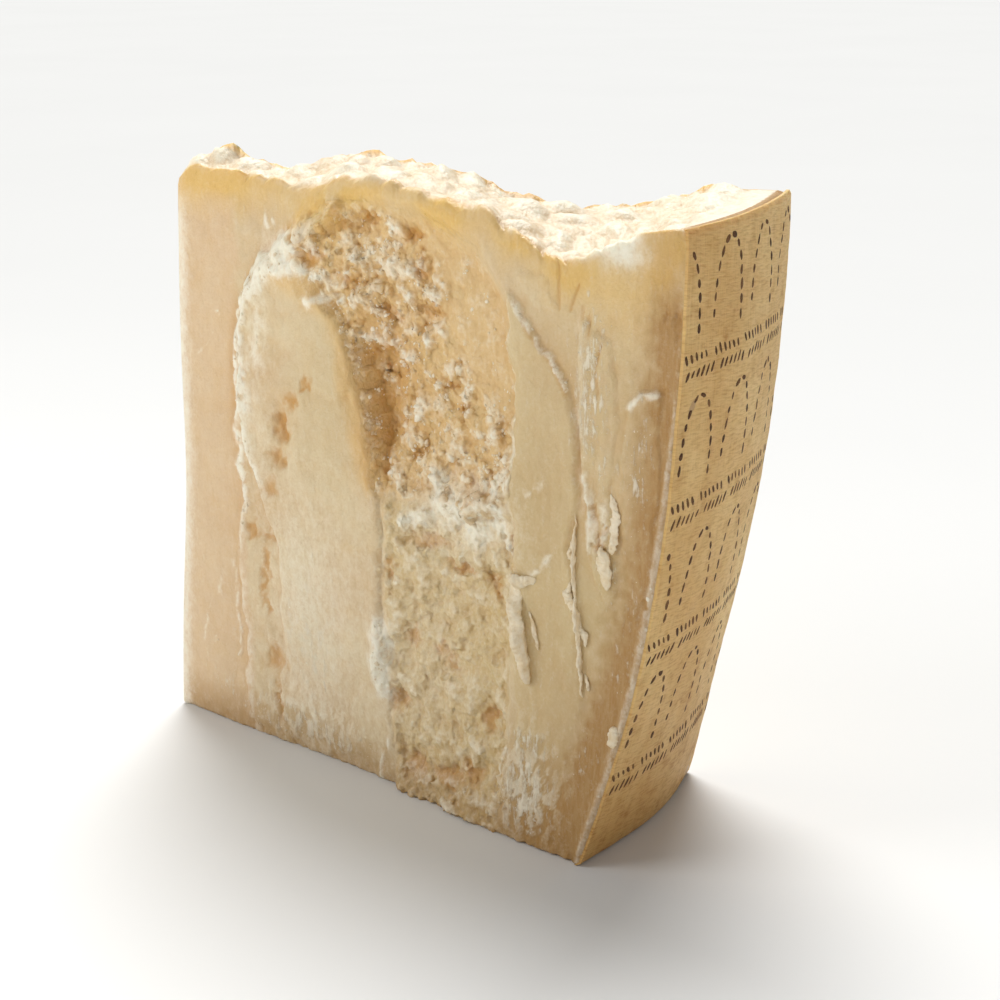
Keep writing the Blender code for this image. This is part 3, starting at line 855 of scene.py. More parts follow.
        # painted glow: a yellow band under the crest, for light shining through the paste there
        glow = (0.60 + 0.30 * waves(flat, 0.016, (6.0, 2.0, 2.0), 2)) * ramp(below + 0.0005, 0.005)
        glow = glow * ramp(0.0095 + 0.004 * bell(x, 0.03) - below, 0.015)
        masks = {"crumb": crumb, "pit_shade": pit_shade, "pale": pale, "frost": frost, "glow": glow, "open": opened,
                 "olive": np.maximum(total["olive"], straw), "rosy": 0.7 * ramp(0.034 - torn[0], 0.004),
                 "brown": held(brown) * (1.0 - 0.7 * ramp(0.022 - below, 0.02)),
                 "loose": loose * (opened < 0.0), "honey": total["honey"]}
        for mask, tinted in self.tints:
            for mound in tinted:
                masks[mask] = held(masks[mask] + mound.height * mound.share(*torn))
        return proud, masks


@dataclass(frozen=True)
class BackFace:
    """The broken back: the same paste in broad scoops, with crumb in the deeper ones."""

    mounds: tuple[Mound, ...] = mound_rows(
        (550, 1350, 260, 500, -45), (920, 600, 240, 520, 40), (1360, 1050, 300, 420, -60),
        (1180, 1720, 300, 160, -30), (1640, 500, 200, 340, -28), (1760, 1500, 140, 360, 20))

    def shape(self, x: Array, z: Array, crest: Array, wheel: Wheel) -> tuple[Array, dict[str, Array]]:
        """Relief and masks of the back, as FrontFace.shape gives those of the front."""
        away = rows(x, 0.08, z)
        torn_x = x + 0.004 * waves(away, 0.016, (2.2, 0.3, 4.1))
        torn_z = z + 0.004 * waves(away, 0.016, (5.7, 9.1, 1.4))
        proud, hollow = np.zeros(x.shape), np.zeros(x.shape)
        for mound in self.mounds:
            proud += mound.height * mound.share(x, z)
            if mound.height < 0.0:
                hollow = np.maximum(hollow, mound.share(torn_x, torn_z))
        hollow += 0.30 * waves(away, 0.022, (5.0, 7.0, 2.0), 4)
        crumb = ramp(hollow - 0.45, 0.30)
        pale = 0.9 * bell(hollow - 0.42, 0.07) * ramp(waves(away, 0.02, (1.0, 2.0, 3.0)), 0.5)
        big = shards(away, 0.010, LUMPS)
        small = shards(away, 0.0048, (0.2, 4.4, 8.8))
        proud = proud + crumb * (0.0016 * big + 0.0008 * small) + 0.0006 * pale
        proud += 0.00135 * waves(away, 0.028, LEVEL)
        proud += 0.0003 * (1.0 - crumb) * waves(away, 0.007, (4.0, 4.0, 4.0))
        brown = 0.9 * ramp(x - wheel.rind_radius(z, 1.0) + 0.011, 0.014) + 0.55 * ramp(0.011 - z, 0.016)
        # painted glow under the top edge, and painted shade as amber on the low parts of the crumb
        return proud, {
            "crumb": crumb, "loose": 0.6 * crumb, "honey": 0.8 * crumb, "pale": pale, "brown": held(brown),
            "pit_shade": 0.5 * crumb * ramp(-0.2 - big, 0.6), "glow": ramp(z - crest + 0.008, 0.014),
            "frost": 0.7 * ramp(waves(away, 0.040, (7.0, 1.0, 2.0)) - 0.1, 0.5),
            "olive": 0.4 * ramp(waves(away, 0.050, (3.0, 8.0, 1.0)), 0.6)}


@dataclass(frozen=True)
class BrokenTop:
    """The rough top: rises and dips along both edges, with crumb between."""

    front: tuple[tuple[float, float, float], ...] = (       # place, half width and height of each rise
        (0.027, 0.012, 0.0028), (0.095, 0.022, 0.0042), (0.171, 0.024, -0.0120))
    back: tuple[tuple[float, float, float], ...] = (
        (0.020, 0.012, 0.0075), (0.047, 0.006, -0.0050), (0.066, 0.026, 0.0078), (0.096, 0.010, 0.0030),
        (0.128, 0.015, -0.0060), (0.152, 0.014, -0.0050))
    lumps: float = 0.0026
    lump_size: float = 0.011
    rough_to: float = 0.197         # from the wheel's axis, as is the next
    brown_from: float = 0.203

    def height(self, x: Array, y: Array, wheel: Wheel) -> tuple[Array, Array]:
        """Height of the top, and how grainy it is.

        Args:
            x: Place along X in the wheel's frame.
            y: Place along Y.
            wheel: The wheel.

        Returns:
            The height at each point, and a mask that is 1 on rough crumb and 0 by the rind.
        """
        share = ramp(np.arctan2(y, np.maximum(x, 0.001)) / wheel.angle - 0.5, 1.0)
        front, back = (sum(height * bell(x - at, width) for at, width, height in edge)
                       for edge in (self.front, self.back))
        smooth = wheel.top + front * (1.0 - share) + back * share
        rough = 1.0 - ramp(np.hypot(x, y) - self.rough_to, 0.016)
        level = rows(x, y, wheel.top)
        swell = waves(rows(x, y, smooth), 1.3 * self.lump_size, LUMPS)
        lumps = self.lumps * (gaps(level, self.lump_size, LUMPS) - 0.5 + 0.5 * swell)
        return smooth + rough * (lumps + 0.0009 * waves(level, 0.0060, (0.2, 4.4, 8.8), 3)), rough

    def masks(self, x: Array, y: Array, rough: Array, wheel: Wheel) -> dict[str, Array]:
        """Masks of the top, from how grainy it is: near-white partly as a painted highlight where the light
        from above falls, painted shade in its sunken gaps and a faint painted glow.
        """
        level = rows(x, y, wheel.top)
        sunken = 0.40 - gaps(level, self.lump_size, LUMPS) - 0.4 * waves(level, 0.0040, (2.0, 6.0, 1.0), 3)
        sunken = rough * ramp(sunken, 0.6)
        # painted highlight all over, painted shade in the sunken gaps
        return {"crumb": 0.6 * rough, "pit_shade": 0.30 * sunken, "pale": 0.97 - 0.05 * rough - 0.28 * sunken,
                "honey": 0.2 * rough, "glow": np.full(x.shape, 0.08),
                "brown": 0.25 * ramp(np.hypot(x, y) - self.brown_from, 0.006)}


@dataclass
class Wedge:
    """The whole block of paste, as one fine closed mesh that carries its masks."""

    wheel: Wheel = Wheel()
    front: FrontFace = FrontFace()
    back: BackFace = BackFace()
    top: BrokenTop = BrokenTop()
    tip_width: float = 0.0035
    base_rounding: float = 0.0013
    crest_rounding: float = 0.0042
    front_bands: tuple[tuple[float, float, int], ...] = (
        (0.0, 0.15, 26), (0.15, 0.965, 262), (0.965, 1.0, 16))     # from, to and columns
    back_columns: int = 88
    rind_columns: int = 12
    tip_columns: int = 5
    levels: int = 196
    top_spacing: float = 0.00115
    under_rind: float = 0.0003
    middle: Point = (0.12, 0.025)       # what the rounded edges lean towards
    mask_names: tuple[str, ...] = ("crumb", "pit_shade", "pale", "frost", "olive", "brown", "glow", "rosy",
                                   "honey", "loose")

    def plan(self) -> list[tuple[Side, Array, slice]]:
        """The ring's sides in order, with the shares along each side of its columns, and those columns."""
        bands = [np.linspace(low, high, count + 1)[1:] for low, high, count in self.front_bands]
        sides = [(Side.FRONT, np.concatenate([[0.0], *bands])),
                 (Side.RIND, np.linspace(0.0, 1.0, self.rind_columns + 1)[1:]),
                 (Side.BACK, np.linspace(1.0, 0.0, self.back_columns + 1)[1:]),
                 (Side.TIP, np.linspace(0.0, 1.0, self.tip_columns + 2)[1:-1])]
        ends = np.cumsum([len(shares) for _, shares in sides]).tolist()
        return [(side, shares, slice(end - len(shares), end)) for (side, shares), end in zip(sides, ends)]

    def side(self, side: Side, shares: Array, z: Array, crest: Array) -> tuple[Array, dict[str, Array]]:
        """Points of one side.

        Args:
            side: Which side.
            shares: Shares of the way along it.
            z: Heights.
            crest: Height of the top above each point.

        Returns:
            The points' x and y, and their masks.
        """
        wheel = self.wheel
        cosine, sine = math.cos(wheel.angle), math.sin(wheel.angle)
        radius = wheel.rind_radius(z, {Side.RIND: shares, Side.BACK: 1.0}.get(side, 0.0)) - self.under_rind
        corner = np.stack([radius * cosine, radius * sine])
        tip = np.stack([wheel.tip_x(z) + 0.3 * self.tip_width, np.full(z.shape, self.tip_width)])
        if side is Side.FRONT:
            x = wheel.tip_x(z) + shares * (radius - wheel.tip_x(z))
            proud, masks = self.front.shape(x, z, crest, wheel)
            turned = self.front.turned(x, z)
            return np.stack([x, -((proud - turned) * self.ends(shares, 0.0024) + turned)]), masks
        if side is Side.RIND:
            angle = shares * wheel.angle
            points = np.stack([radius * np.cos(angle), radius * np.sin(angle)])
            points[1] -= (1.0 - shares) * self.front.turned(radius, z)
            return points, {"brown": np.ones(z.shape)}
        if side is Side.BACK:
            x, y = tip + shares * (corner - tip)
            proud, masks = self.back.shape(x, z, crest, wheel)
            out = proud * self.ends(shares, 0.010)
            return np.stack([x - sine * out, y + cosine * out]), masks
        points = tip + shares * (np.stack([wheel.tip_x(z), np.zeros(z.shape)]) - tip)
        rough = waves(rows(*points, z), 0.005, (1.0, 5.0, 2.0))
        points[0] -= np.sin(math.pi * shares) * (0.0010 + 0.0004 * rough)
        # painted glow and painted highlight on the thin end, for light shining through it
        return points, {"glow": np.full(z.shape, 0.3), "pale": np.full(z.shape, 0.4)}

    def ends(self, shares: Array, width: float) -> Array:
        """1 along a side and 0 at both its ends, so that neighbouring sides meet."""
        length = self.wheel.radius
        return ramp(shares * length - width / 2, width) * ramp((1.0 - shares) * length - width / 2, width)

    @staticmethod
    def rounding(distance: Array, radius: float) -> Array:
        """How far a rounded edge lies inside its side, at a distance from the edge."""
        return radius * (1.0 - np.sqrt(1.0 - held(1.0 - distance / radius) ** 2))

    def ring_heights(self, crest: Array) -> Array:
        """Heights of each ring's points: close together over the rounded edges, and even between them."""
        low = [crest * 0.0, crest * 0.0 + 0.3 * self.base_rounding]
        high = [crest - 0.45 * self.crest_rounding, crest - 0.12 * self.crest_rounding, crest]
        start, end = self.base_rounding, crest - self.crest_rounding
        even = [start + (end - start) * level / self.levels for level in range(self.levels + 1)]
        return np.array(low + even + high)

    def around(self, crest: Array, z: Array) -> tuple[Array, dict[str, Array]]:
        """Points and masks of whole rings, all levels at once, as arrays of levels by columns."""
        planes, masks = [], {name: [] for name in self.mask_names}
        for side, shares, columns in self.plan():
            heights = z[:, columns]
            along, tops = (np.broadcast_to(each, heights.shape).ravel() for each in (shares, crest[columns]))
            plane, found = self.side(side, along, heights.ravel(), tops)
            planes.append(plane.reshape(2, *heights.shape))
            for name, parts in masks.items():
                parts.append(found.get(name, np.zeros(heights.size)).reshape(heights.shape))
        return np.concatenate(planes, axis=2), {k: np.concatenate(v, axis=1) for k, v in masks.items()}

    def rings(self) -> tuple[Array, dict[str, Array]]:
        """All rings of the upright sides, in the wheel's frame, and their masks."""
        crest = np.full(self.plan()[-1][-1].stop, self.wheel.top)
        for _ in range(2):      # the crest's height and the place of its points depend on each other
            plane, _ = self.around(crest, crest[None, :])
            crest, _ = self.top.height(plane[0, 0], plane[1, 0], self.wheel)
        z = self.ring_heights(crest)
        plane, masks = self.around(crest, z)
        inward = np.array(self.middle)[:, None, None] - plane
        inward = inward / np.hypot(*inward)
        step_in = self.rounding(z, self.base_rounding) + 0.8 * self.rounding(crest - z, self.crest_rounding)
        plane = plane + inward * step_in
        self.add_cavities(plane, masks)
        return rows(*plane, z), masks

    def add_cavities(self, plane: Array, masks: dict[str, Array]) -> None:
        """Paint shade as amber where the front and the back lie below their surroundings, and a painted
        highlight on crumb that stands above them.
        """
        for side, _, columns in self.plan():
            if side in (Side.FRONT, Side.BACK):
                lean = 0.0 if side is Side.FRONT else self.wheel.angle
                out = plane[0, :, columns] * math.sin(lean) - plane[1, :, columns] * math.cos(lean)
                out = out if side is Side.FRONT else -out
                near, wide = (blur(out, reach) - out for reach in (3, 9))
                pit_shade, pale = masks["pit_shade"][:, columns], masks["pale"][:, columns]
                # painted shade in the hollows, painted highlight on raised crumb
                hollow = held(near / 0.0007) * 0.30 + held(wide / 0.0035) * 0.60
                pit_shade[:] = np.maximum(pit_shade, held(hollow))
                pale[:] = np.maximum(pale, 0.55 * (held(-near / 0.0006) * masks["crumb"][:, columns]))

    def top_inside(self, ring: Array) -> tuple[Array, dict[str, Array]]:
        """Points spread over the top inside its ring, on a staggered grid, and their masks."""
        low, high = ring[:, :2].min(axis=0), ring[:, :2].max(axis=0)
        x, y = [], []
        for i, row in enumerate(np.arange(low[1], high[1], self.top_spacing * math.sqrt(0.75))):
            along = np.arange(low[0] + 0.5 * self.top_spacing * (i % 2), high[0], self.top_spacing)
            x.extend(along)
            y.extend([row] * len(along))
        x, y = np.array(x), np.array(y)
        keep = depth_inside(x, y, [tuple(point) for point in ring[:, :2]]) > 0.55 * self.top_spacing
        x, y = x[keep], y[keep]
        height, rough = self.top.height(x, y, self.wheel)
        return rows(x, y, height), self.top.masks(x, y, rough, self.wheel)

    def surface(self) -> Surface:
        """The closed surface, in the part's frame."""
        rings, masks = self.rings()
        levels, columns = rings.shape[:2]
        inside, inside_masks = self.top_inside(rings[-1])
        last_ring = (levels - 1) * columns
        flat = [Vector(point[:2]) for point in (*rings[-1], *inside)]
        _, _, triangles, sources, _, _ = delaunay_2d_cdt(flat, [], [list(range(columns))], 1, 1e-7)
        faces = [tuple(reversed(range(columns))), *quads(levels, columns, closed=True),
                 *(tuple(last_ring + sources[i][0] for i in triangle) for triangle in triangles)]
        return Surface(self.wheel.in_part(np.concatenate([rings.reshape(-1, 3), inside])), faces, {
            name: np.concatenate([masks[name].ravel(), inside_masks.get(name, np.zeros(len(inside)))])
            for name in self.mask_names})


@dataclass(frozen=True)
class Sheet:
    """A grainy part of the front at the scale of its grains: a block let into the wedge."""

    name: str
    left: tuple[Point, ...]         # heights, and x from the wheel's axis at each
    right: tuple[Point, ...]
    rows: int
    columns: int
    coarse: float       # heights of its three sizes of grain
    middle: float
    fine: float
    grains: tuple[Point, ...] = ((0.0064, 1.3), (0.0026, 4.7), (0.0011, 9.1))     # their widths and seeds
    depth: float = 0.016

    def grid(self) -> tuple[Array, Array, Array]:
        """The sheet's x and z, and the distance from its border except at the base, as rows by columns."""
        z = np.linspace(self.left[0][0], self.left[-1][0], self.rows)
        left, right = (np.interp(z, *zip(*side))[:, None] for side in (self.left, self.right))
        x = left + np.linspace(0.0, 1.0, self.columns) * (right - left)
        z = np.broadcast_to(z[:, None], x.shape)
        return x, z, np.minimum(np.minimum(x - left, right - x), z[-1, 0] - z)

    def surface(self, wedge: Wedge) -> Surface:
        """The closed block, in the part's frame."""
        x, z, edge = self.grid()
        shape, count = x.shape, x.size
        x, z, edge = x.ravel(), z.ravel(), edge.ravel()
        crest, _ = wedge.top.height(x, 0.0 * x, wedge.wheel)
        proud, masks = wedge.front.shape(x, z, crest, wedge.wheel)

        # grains of three sizes, in clumps and heaps
        flat = rows(x, 0.0, z)
        bent_x, bent_z = (along + 0.0006 * waves(flat, 0.0036, turn, 3)
                          for along, turn in ((x, (2.0, 5.0, 1.0)), (z, (8.0, 3.0, 4.0))))
        crumb, waxy = ramp(masks["crumb"] - 0.25, 0.6), ramp(0.104 - bent_z, 0.008)
        clumps, heaps = waves(flat, 0.0090, (3.0, 1.0, 7.0), 3), waves(flat, 0.0055, (6.0, 2.0, 9.0), 3)
        (coarse, tint), (middle, chance), (small, spark) = (
            pebbles(bent_x, bent_z, *grain) for grain in self.grains)
        kept = ramp(chance - 0.5, 0.4) * (0.25 + 0.75 * ramp(heaps, 0.8)) * (1.0 - 0.5 * waxy)
        grainy = self.coarse * coarse * (0.3 + 0.7 * tint) + self.middle * middle * kept
        grainy += self.fine * small * spark
        proud += crumb * (1.0 - 0.35 * waxy) * (grainy + 0.0009 * clumps + 0.0007 * heaps)
        inside = np.minimum(masks["open"], edge - 0.0010)
        shown = ramp(inside, 0.0020)
        proud = proud + np.clip(0.18 * inside, -0.0016, 0.00020) - 0.0010 * ramp(-0.0030 - inside, 0.003)
        proud -= wedge.rounding(z, wedge.base_rounding)

        # masks, from how steep it is and how far above or below its surroundings: painted shade in its
        # hollows and on its steep walls, painted highlight on what stands above
        grid = proud.reshape(shape)
        slopes = [np.ravel(np.gradient(grid, axis=axis) / np.gradient(along.reshape(shape), axis=axis))
                  for axis, along in ((1, x), (0, z))]
        normal = -rows(slopes[0], 1.0, slopes[1])
        steep = np.linalg.norm(normal, axis=1)
        wall = ramp(blur(steep.reshape(shape), 3).ravel() - 1.5, 0.8)
        near, wide = (np.ravel(blur(grid, reach) - grid) for reach in (2, 12))
        hollow = held(near / 0.0006) * 0.25 + held(wide / 0.0020) * 0.75
        hollow = hollow * (0.3 + 0.6 * crumb) * (1.0 - 0.4 * waxy)
        # painted highlight: paste above its surroundings is paler, besides pale grains and clumps
        bright = 0.40 * held(-wide / 0.0014) + 0.25 * kept * ramp(middle - 0.35, 0.4)
        bright += 0.40 * ramp(clumps + heaps, 0.9)
        bright = crumb * (1.0 - 0.7 * hollow) * held(bright)
        # painted shade: amber in hollows and on steep walls, which are also less pale
        masks["pit_shade"] = np.maximum(masks["pit_shade"], np.maximum(hollow, 0.4 * wall * (0.7 + 0.9 * heaps)))
        masks["pale"] = np.maximum(masks["pale"], bright) * (1.0 - 0.4 * wall)
        masks["loose"] = crumb * ramp(z - 0.004, 0.004) * ramp(shown - 0.6, 0.3) * ramp(heaps + 0.1, 0.5)
        masks["loose"] *= 1.0 - 0.7 * waxy

        # steep walls crumble, and the block is closed behind
        front = rows(x, -proud, z)
        crumbly = 0.0012 * waves(front, 0.0042, (4.1, 2.2, 7.3), 4)
        crumbly += 0.0012 * shards(front, 0.0024, (1.0, 6.0, 2.0))
        front = front + normal * (crumbly / steep * ramp(steep - 1.35, 0.7) * shown)[:, None]
        around = border(self.rows, self.columns)
        behind = front[around]
        behind[:, 1] = self.depth
        behind[:, 2] = np.maximum(behind[:, 2], 0.0004)
        turn = len(around)
        faces = quads(self.rows, self.columns, closed=False)
        faces += [(around[(i + 1) % turn], around[i], count + i, count + (i + 1) % turn) for i in range(turn)]
        faces.append(tuple(reversed(range(count, count + turn))))
        return Surface(wedge.wheel.in_part(np.concatenate([front, behind])), faces, {
            name: np.concatenate([masks.get(name, np.zeros(count)), np.zeros(turn)])
            for name in wedge.mask_names})


GRAINY = Sheet(
    "grainy_paste",
    run(0, 960, 400, 940, 660, 920, 880, 930, 1010, 910, 1140, 870, 1300, 840, 1440, 820, 1550, 770, 1650,
        660, 1750, 560, 1830, 600, 1950, 700),
    run(0, 1510, 300, 1540, 560, 1530, 820, 1570, 1040, 1560, 1120, 1540, 1240, 1570, 1400, 1560, 1500,
        1530, 1660, 1520, 1760, 1460, 1820, 1410, 1900, 1260, 1950, 1180),
    rows=500, columns=190, coarse=0.0014, middle=0.0006, fine=0.00022)


# --- The rind and its marks ---

@dataclass
class Rind:
    """The rind as a thin curved skin over the wedge's outer side."""

    wedge: Wedge
    thickness: float = 0.0009
    overhang: float = 0.00025
    crest_rounding: float = 0.0012
    columns: int = 84
    rows: int = 190

    def outer(self, shares: Array, rises: Array) -> tuple[Array, Array]:
        """Points of the outer face.

        Args:
            shares: Shares of the way from the front edge to the back edge.
            rises: Shares of the way from the base to the broken top.

        Returns:
            The points in the wheel's frame, and their unrolled place in metres.
        """
        wedge, wheel = self.wedge, self.wedge.wheel
        angle = shares * wheel.angle
        x, y = wheel.radius * np.cos(angle), wheel.radius * np.sin(angle)
        crest, _ = wedge.top.height(x * 0.998, y * 0.998, wheel)
        z = rises * (crest + 0.0002)
        flat = rows(x, y, z)
        out = 0.0004 * waves(flat, 0.035, LEVEL) + 0.00012 * waves(flat, 0.006, (1.5, 3.5, 9.5))
        out -= wedge.rounding(z, wedge.base_rounding)
        out -= 0.5 * wedge.rounding(crest - z, self.crest_rounding)
        radius = wheel.rind_radius(z, shares) + out
        x, y = radius * np.cos(angle), radius * np.sin(angle)
        y = y - (1.0 - shares) * wedge.front.turned(radius, z)
        lap = self.overhang * (ramp(shares - 0.985, 0.02) - ramp(0.015 - shares, 0.02))
        x = x - lap * math.sin(wheel.angle) * (shares > 0.5)
        return rows(x, y + lap, z), rows(angle * wheel.radius, z)

    def mesh(self) -> bpy.types.Mesh:
        """The closed skin, with its unrolled map, in the part's frame."""
        levels, columns = self.rows + 1, self.columns + 1
        shares, rises = np.meshgrid(np.linspace(0, 1, columns), np.linspace(0, 1, levels))
        outer, sheet = self.outer(shares.ravel(), rises.ravel())
        inward = rows(-outer[:, 0], -outer[:, 1], 0.0)
        inner = outer + self.thickness * (inward / np.linalg.norm(inward, axis=1, keepdims=True))
        count, edge, faces = len(outer), border(levels, columns), []
        for quad in quads(levels, columns, closed=False):
            faces += [quad, tuple(count + i for i in reversed(quad))]
        faces += [(b, a, count + a, count + b) for a, b in zip(edge, edge[1:] + edge[:1])]
        mesh = bpy.data.meshes.new("rind")
        mesh.from_pydata(self.wedge.wheel.in_part(np.concatenate([outer, inner])).tolist(), [], faces)
        layer = mesh.uv_layers.new(name="sheet")
        corners = np.zeros(len(mesh.loops), dtype=np.int32)
        mesh.loops.foreach_get("vertex_index", corners)
        layer.data.foreach_set("uv", np.concatenate([sheet, sheet])[corners].astype(np.float32).ravel())
        mesh.shade_smooth()
        mesh.set_sharp_from_angle(angle=math.radians(60))
        return mesh


Mark = tuple[float, float, float, float, float]     # place along and up the rind, turn, length and width


@dataclass
class Stamps:
    """Marks pressed into the rind: rows of dotted arches, with bands of slanting ticks between them."""

    rind: Rind
    arch_width: float = 0.0170
    arch_height: float = 0.0250
    arch_pitch: float = 0.0250
    arch_steps: int = 400
    first_arch: float = 0.011
    row_pitch: float = 0.0430
    first_row: float = 0.0370
    rows: int = 4
    dash: float = 0.0036
    dash_width: float = 0.0019
    dash_gap: float = 0.0042
    tick: float = 0.0042
    tick_width: float = 0.0015
    tick_pitch: float = 0.0027
    tick_row: float = 0.0048
    tick_slant: float = math.radians(28)
    band_drop: float = 0.0112       # from an arch's foot to the ticks below it
    margin: float = 0.0012
    lowest: float = 0.022
    highest: float = 0.1945
    depth: float = 0.00030
    shown: float = 0.00007

    def arch_dashes(self, middle: float, foot: float) -> Iterable[Mark]:
        """The dashes of one arch."""
        turns = [math.pi * (i + 0.5) / self.arch_steps for i in range(self.arch_steps)]
        path = [(middle - self.arch_width / 2.0 * math.cos(t), foot + self.arch_height * math.sin(t) ** 0.8)
                for t in turns]
        gone = 0.0
        for (s0, z0), (s1, z1) in zip(path, path[1:]):
            gone += math.hypot(s1 - s0, z1 - z0)
            if gone >= self.dash_gap:
                gone -= self.dash_gap
                yield s1, z1, math.atan2(z1 - z0, s1 - s0), self.dash, self.dash_width

    def tick_band(self, low: float) -> Iterable[Mark]:
        """The ticks of one band: two rows that slant opposite ways."""
        for line in range(2):
            slant = math.pi / 2 + self.tick_slant * (1 if line % 2 else -1)
            for i in range(-2, 36):
                if (i + 2 * line) % 7:
                    s = (i + 0.5 * (line % 2)) * self.tick_pitch
                    yield s, low + line * self.tick_row, slant, self.tick, self.tick_width

    def all_marks(self) -> Array:
        """Every mark that fits on the rind, one row each."""
        marks = []
        for row in range(self.rows):
            foot = self.first_row + row * self.row_pitch
            for i in range(-1, 4):
                shift = 0.5 * self.arch_pitch * (row % 2)
                marks += self.arch_dashes(self.first_arch + shift + i * self.arch_pitch, foot)
            marks += self.tick_band(foot - self.band_drop)
        marks = np.array(marks)
        along, up = marks[:, 0], marks[:, 1]
        arc = self.rind.wedge.wheel.angle * self.rind.wedge.wheel.radius
        return marks[(along > self.margin) & (along < arc - self.margin)
                     & (up > self.lowest) & (up < self.highest)]

    def seats(self) -> bpy.types.Mesh:
        """A point for each mark on the rind's surface, with its turn and size as attributes."""
        wheel, step = self.rind.wedge.wheel, 1e-4
        marks = self.all_marks()
        shares, z = marks[:, 0] / (wheel.radius * wheel.angle), marks[:, 1]
        x, y = (wheel.radius * way(shares * wheel.angle) for way in (np.cos, np.sin))
        crest, _ = self.rind.wedge.top.height(x, y, wheel)
        place, beside, above = (self.rind.outer(shares + aside, z / crest + up)[0]
                                for aside, up in ((0, 0), (step, 0), (0, step)))
        turns, sizes, points = [], [], []
        rng = np.random.default_rng(11)
        for i, (_, _, turn, length, width) in enumerate(marks):
            along = Vector(beside[i] - place[i]).normalized()
            out = along.cross(Vector(above[i] - place[i])).normalized()
            own = Matrix((along, out.cross(along), out)).transposed()
            turns.append((own @ Matrix.Rotation(turn + rng.normal(0.0, 0.06), 3, "Z")).to_euler())
            sizes.append((length * rng.uniform(0.85, 1.1), width * rng.uniform(0.8, 1.15), self.depth))
            points.append(Vector(place[i]) - out * (self.depth / 2.0 - self.shown))
        mesh = bpy.data.meshes.new("seats")
        mesh.from_pydata(wheel.in_part(np.array(points)).tolist(), [], [])
        for name, values in (("turn", turns), ("size", sizes)):
            layer = mesh.attributes.new(name, "FLOAT_VECTOR", "POINT")
            layer.data.foreach_set("vector", np.array(values, dtype=np.float32).ravel())
        return mesh


# --- Geometry Nodes: marks on their seats, and grains scattered by a mask ---

class Layout(Tree):
    """A Geometry Nodes tree with named inputs, run on a mesh and turned into a plain mesh."""

    def __init__(self, name: str, **values: float) -> None:
        """Open a tree.

        Args:
            name: The tree's name.
            **values: The value of each of its inputs, by the input's name.
        """
        super().__init__(bpy.data.node_groups.new(name, "GeometryNodeTree"))
        self.values: dict[str, Any] = values
        self.socket("Geometry", "Geometry")
        self.socket("Geometry", "Geometry", "OUTPUT")
        for key, value in values.items():
            self.socket(key, "Int" if isinstance(value, int) else "Float")
        self.socket("Material", "Material")
        self.entry = self.nodes.nodes.new("NodeGroupInput")

    def socket(self, name: str, kind: str, way: str = "INPUT") -> None:
        """Give the tree an input or an output."""
        self.nodes.interface.new_socket(name, in_out=way, socket_type="NodeSocket" + kind)

    def given(self, key: str) -> Value:
        """One of the tree's inputs."""
        return Value(self, self.entry.outputs[key])

    def stored(self, name: str, kind: str = "FLOAT") -> Value:
        """An attribute of the geometry."""
        return self.node("GeometryNodeInputNamedAttribute", {"data_type": kind}, name)

    def close(self, laid: Value, noise_scale: float, drift: Any, **detail: float) -> None:
        """End the tree: instances made real, their shapes made uneven and smooth, with their material.

        Args:
            laid: The instances.
            noise_scale: How fine the unevenness is.
            drift: How far it moves a point.
            **detail: The noise's detail, where it isn't the node's own.
        """
        real = self.node("GeometryNodeRealizeInstances", {}, laid)
        noise_node = self.node("ShaderNodeTexNoise", {}, pick=1, Scale=noise_scale, **detail,
                               Vector=self.node("GeometryNodeInputPosition", {}))
        offset = self.scaled(self.vector("SUBTRACT", noise_node, (0.5,) * 3), drift)
        moved = self.node("GeometryNodeSetPosition", {}, real, Offset=offset)
        smooth = self.node("GeometryNodeSetShadeSmooth", {}, moved)
        real = self.node("GeometryNodeRealizeInstances", {}, smooth)
        painted = self.node("GeometryNodeSetMaterial", {}, real, None, self.given("Material"))
        self.node("NodeGroupOutput", {}, painted)

    def run(self, name: str, ground: bpy.types.Mesh, material: bpy.types.Material) -> bpy.types.Object:
        """The tree's result on a mesh, as a finished object.

        Args:
            name: The finished object's name.
            ground: The mesh that the tree starts from.
            material: The finish of the result.

        Returns:
            An object with a plain mesh and no modifier.
        """
        carrier = placed("carrier", ground)
        modifier = carrier.modifiers.new("layout", "NODES")
        modifier.node_group = self.nodes
        values = {**self.values, "Material": material}
        for item in self.nodes.interface.items_tree:
            if item.in_out == "INPUT" and item.name in values:
                modifier[item.identifier] = values[item.name]
        bpy.context.view_layer.update()
        result = bpy.data.meshes.new_from_object(carrier.evaluated_get(bpy.context.evaluated_depsgraph_get()))
        carrier.modifiers.remove(modifier)
        bpy.data.objects.remove(carrier)
        result.name = name
        return placed(name, result)


def mark_layout() -> Layout:
    """A tree that lays one flat pebble on every seat."""
    tree = Layout("marks_on_seats", Waviness=0.00016)
    pebble = tree.node("GeometryNodeMeshIcoSphere", {}, 0.5, 2)
    laid = tree.node("GeometryNodeInstanceOnPoints", {}, tree.given("Geometry"), None, pebble,
                     Rotation=tree.stored("turn", "FLOAT_VECTOR"), Scale=tree.stored("size", "FLOAT_VECTOR"))
    tree.close(laid, 900.0, tree.given("Waviness"))
    return tree


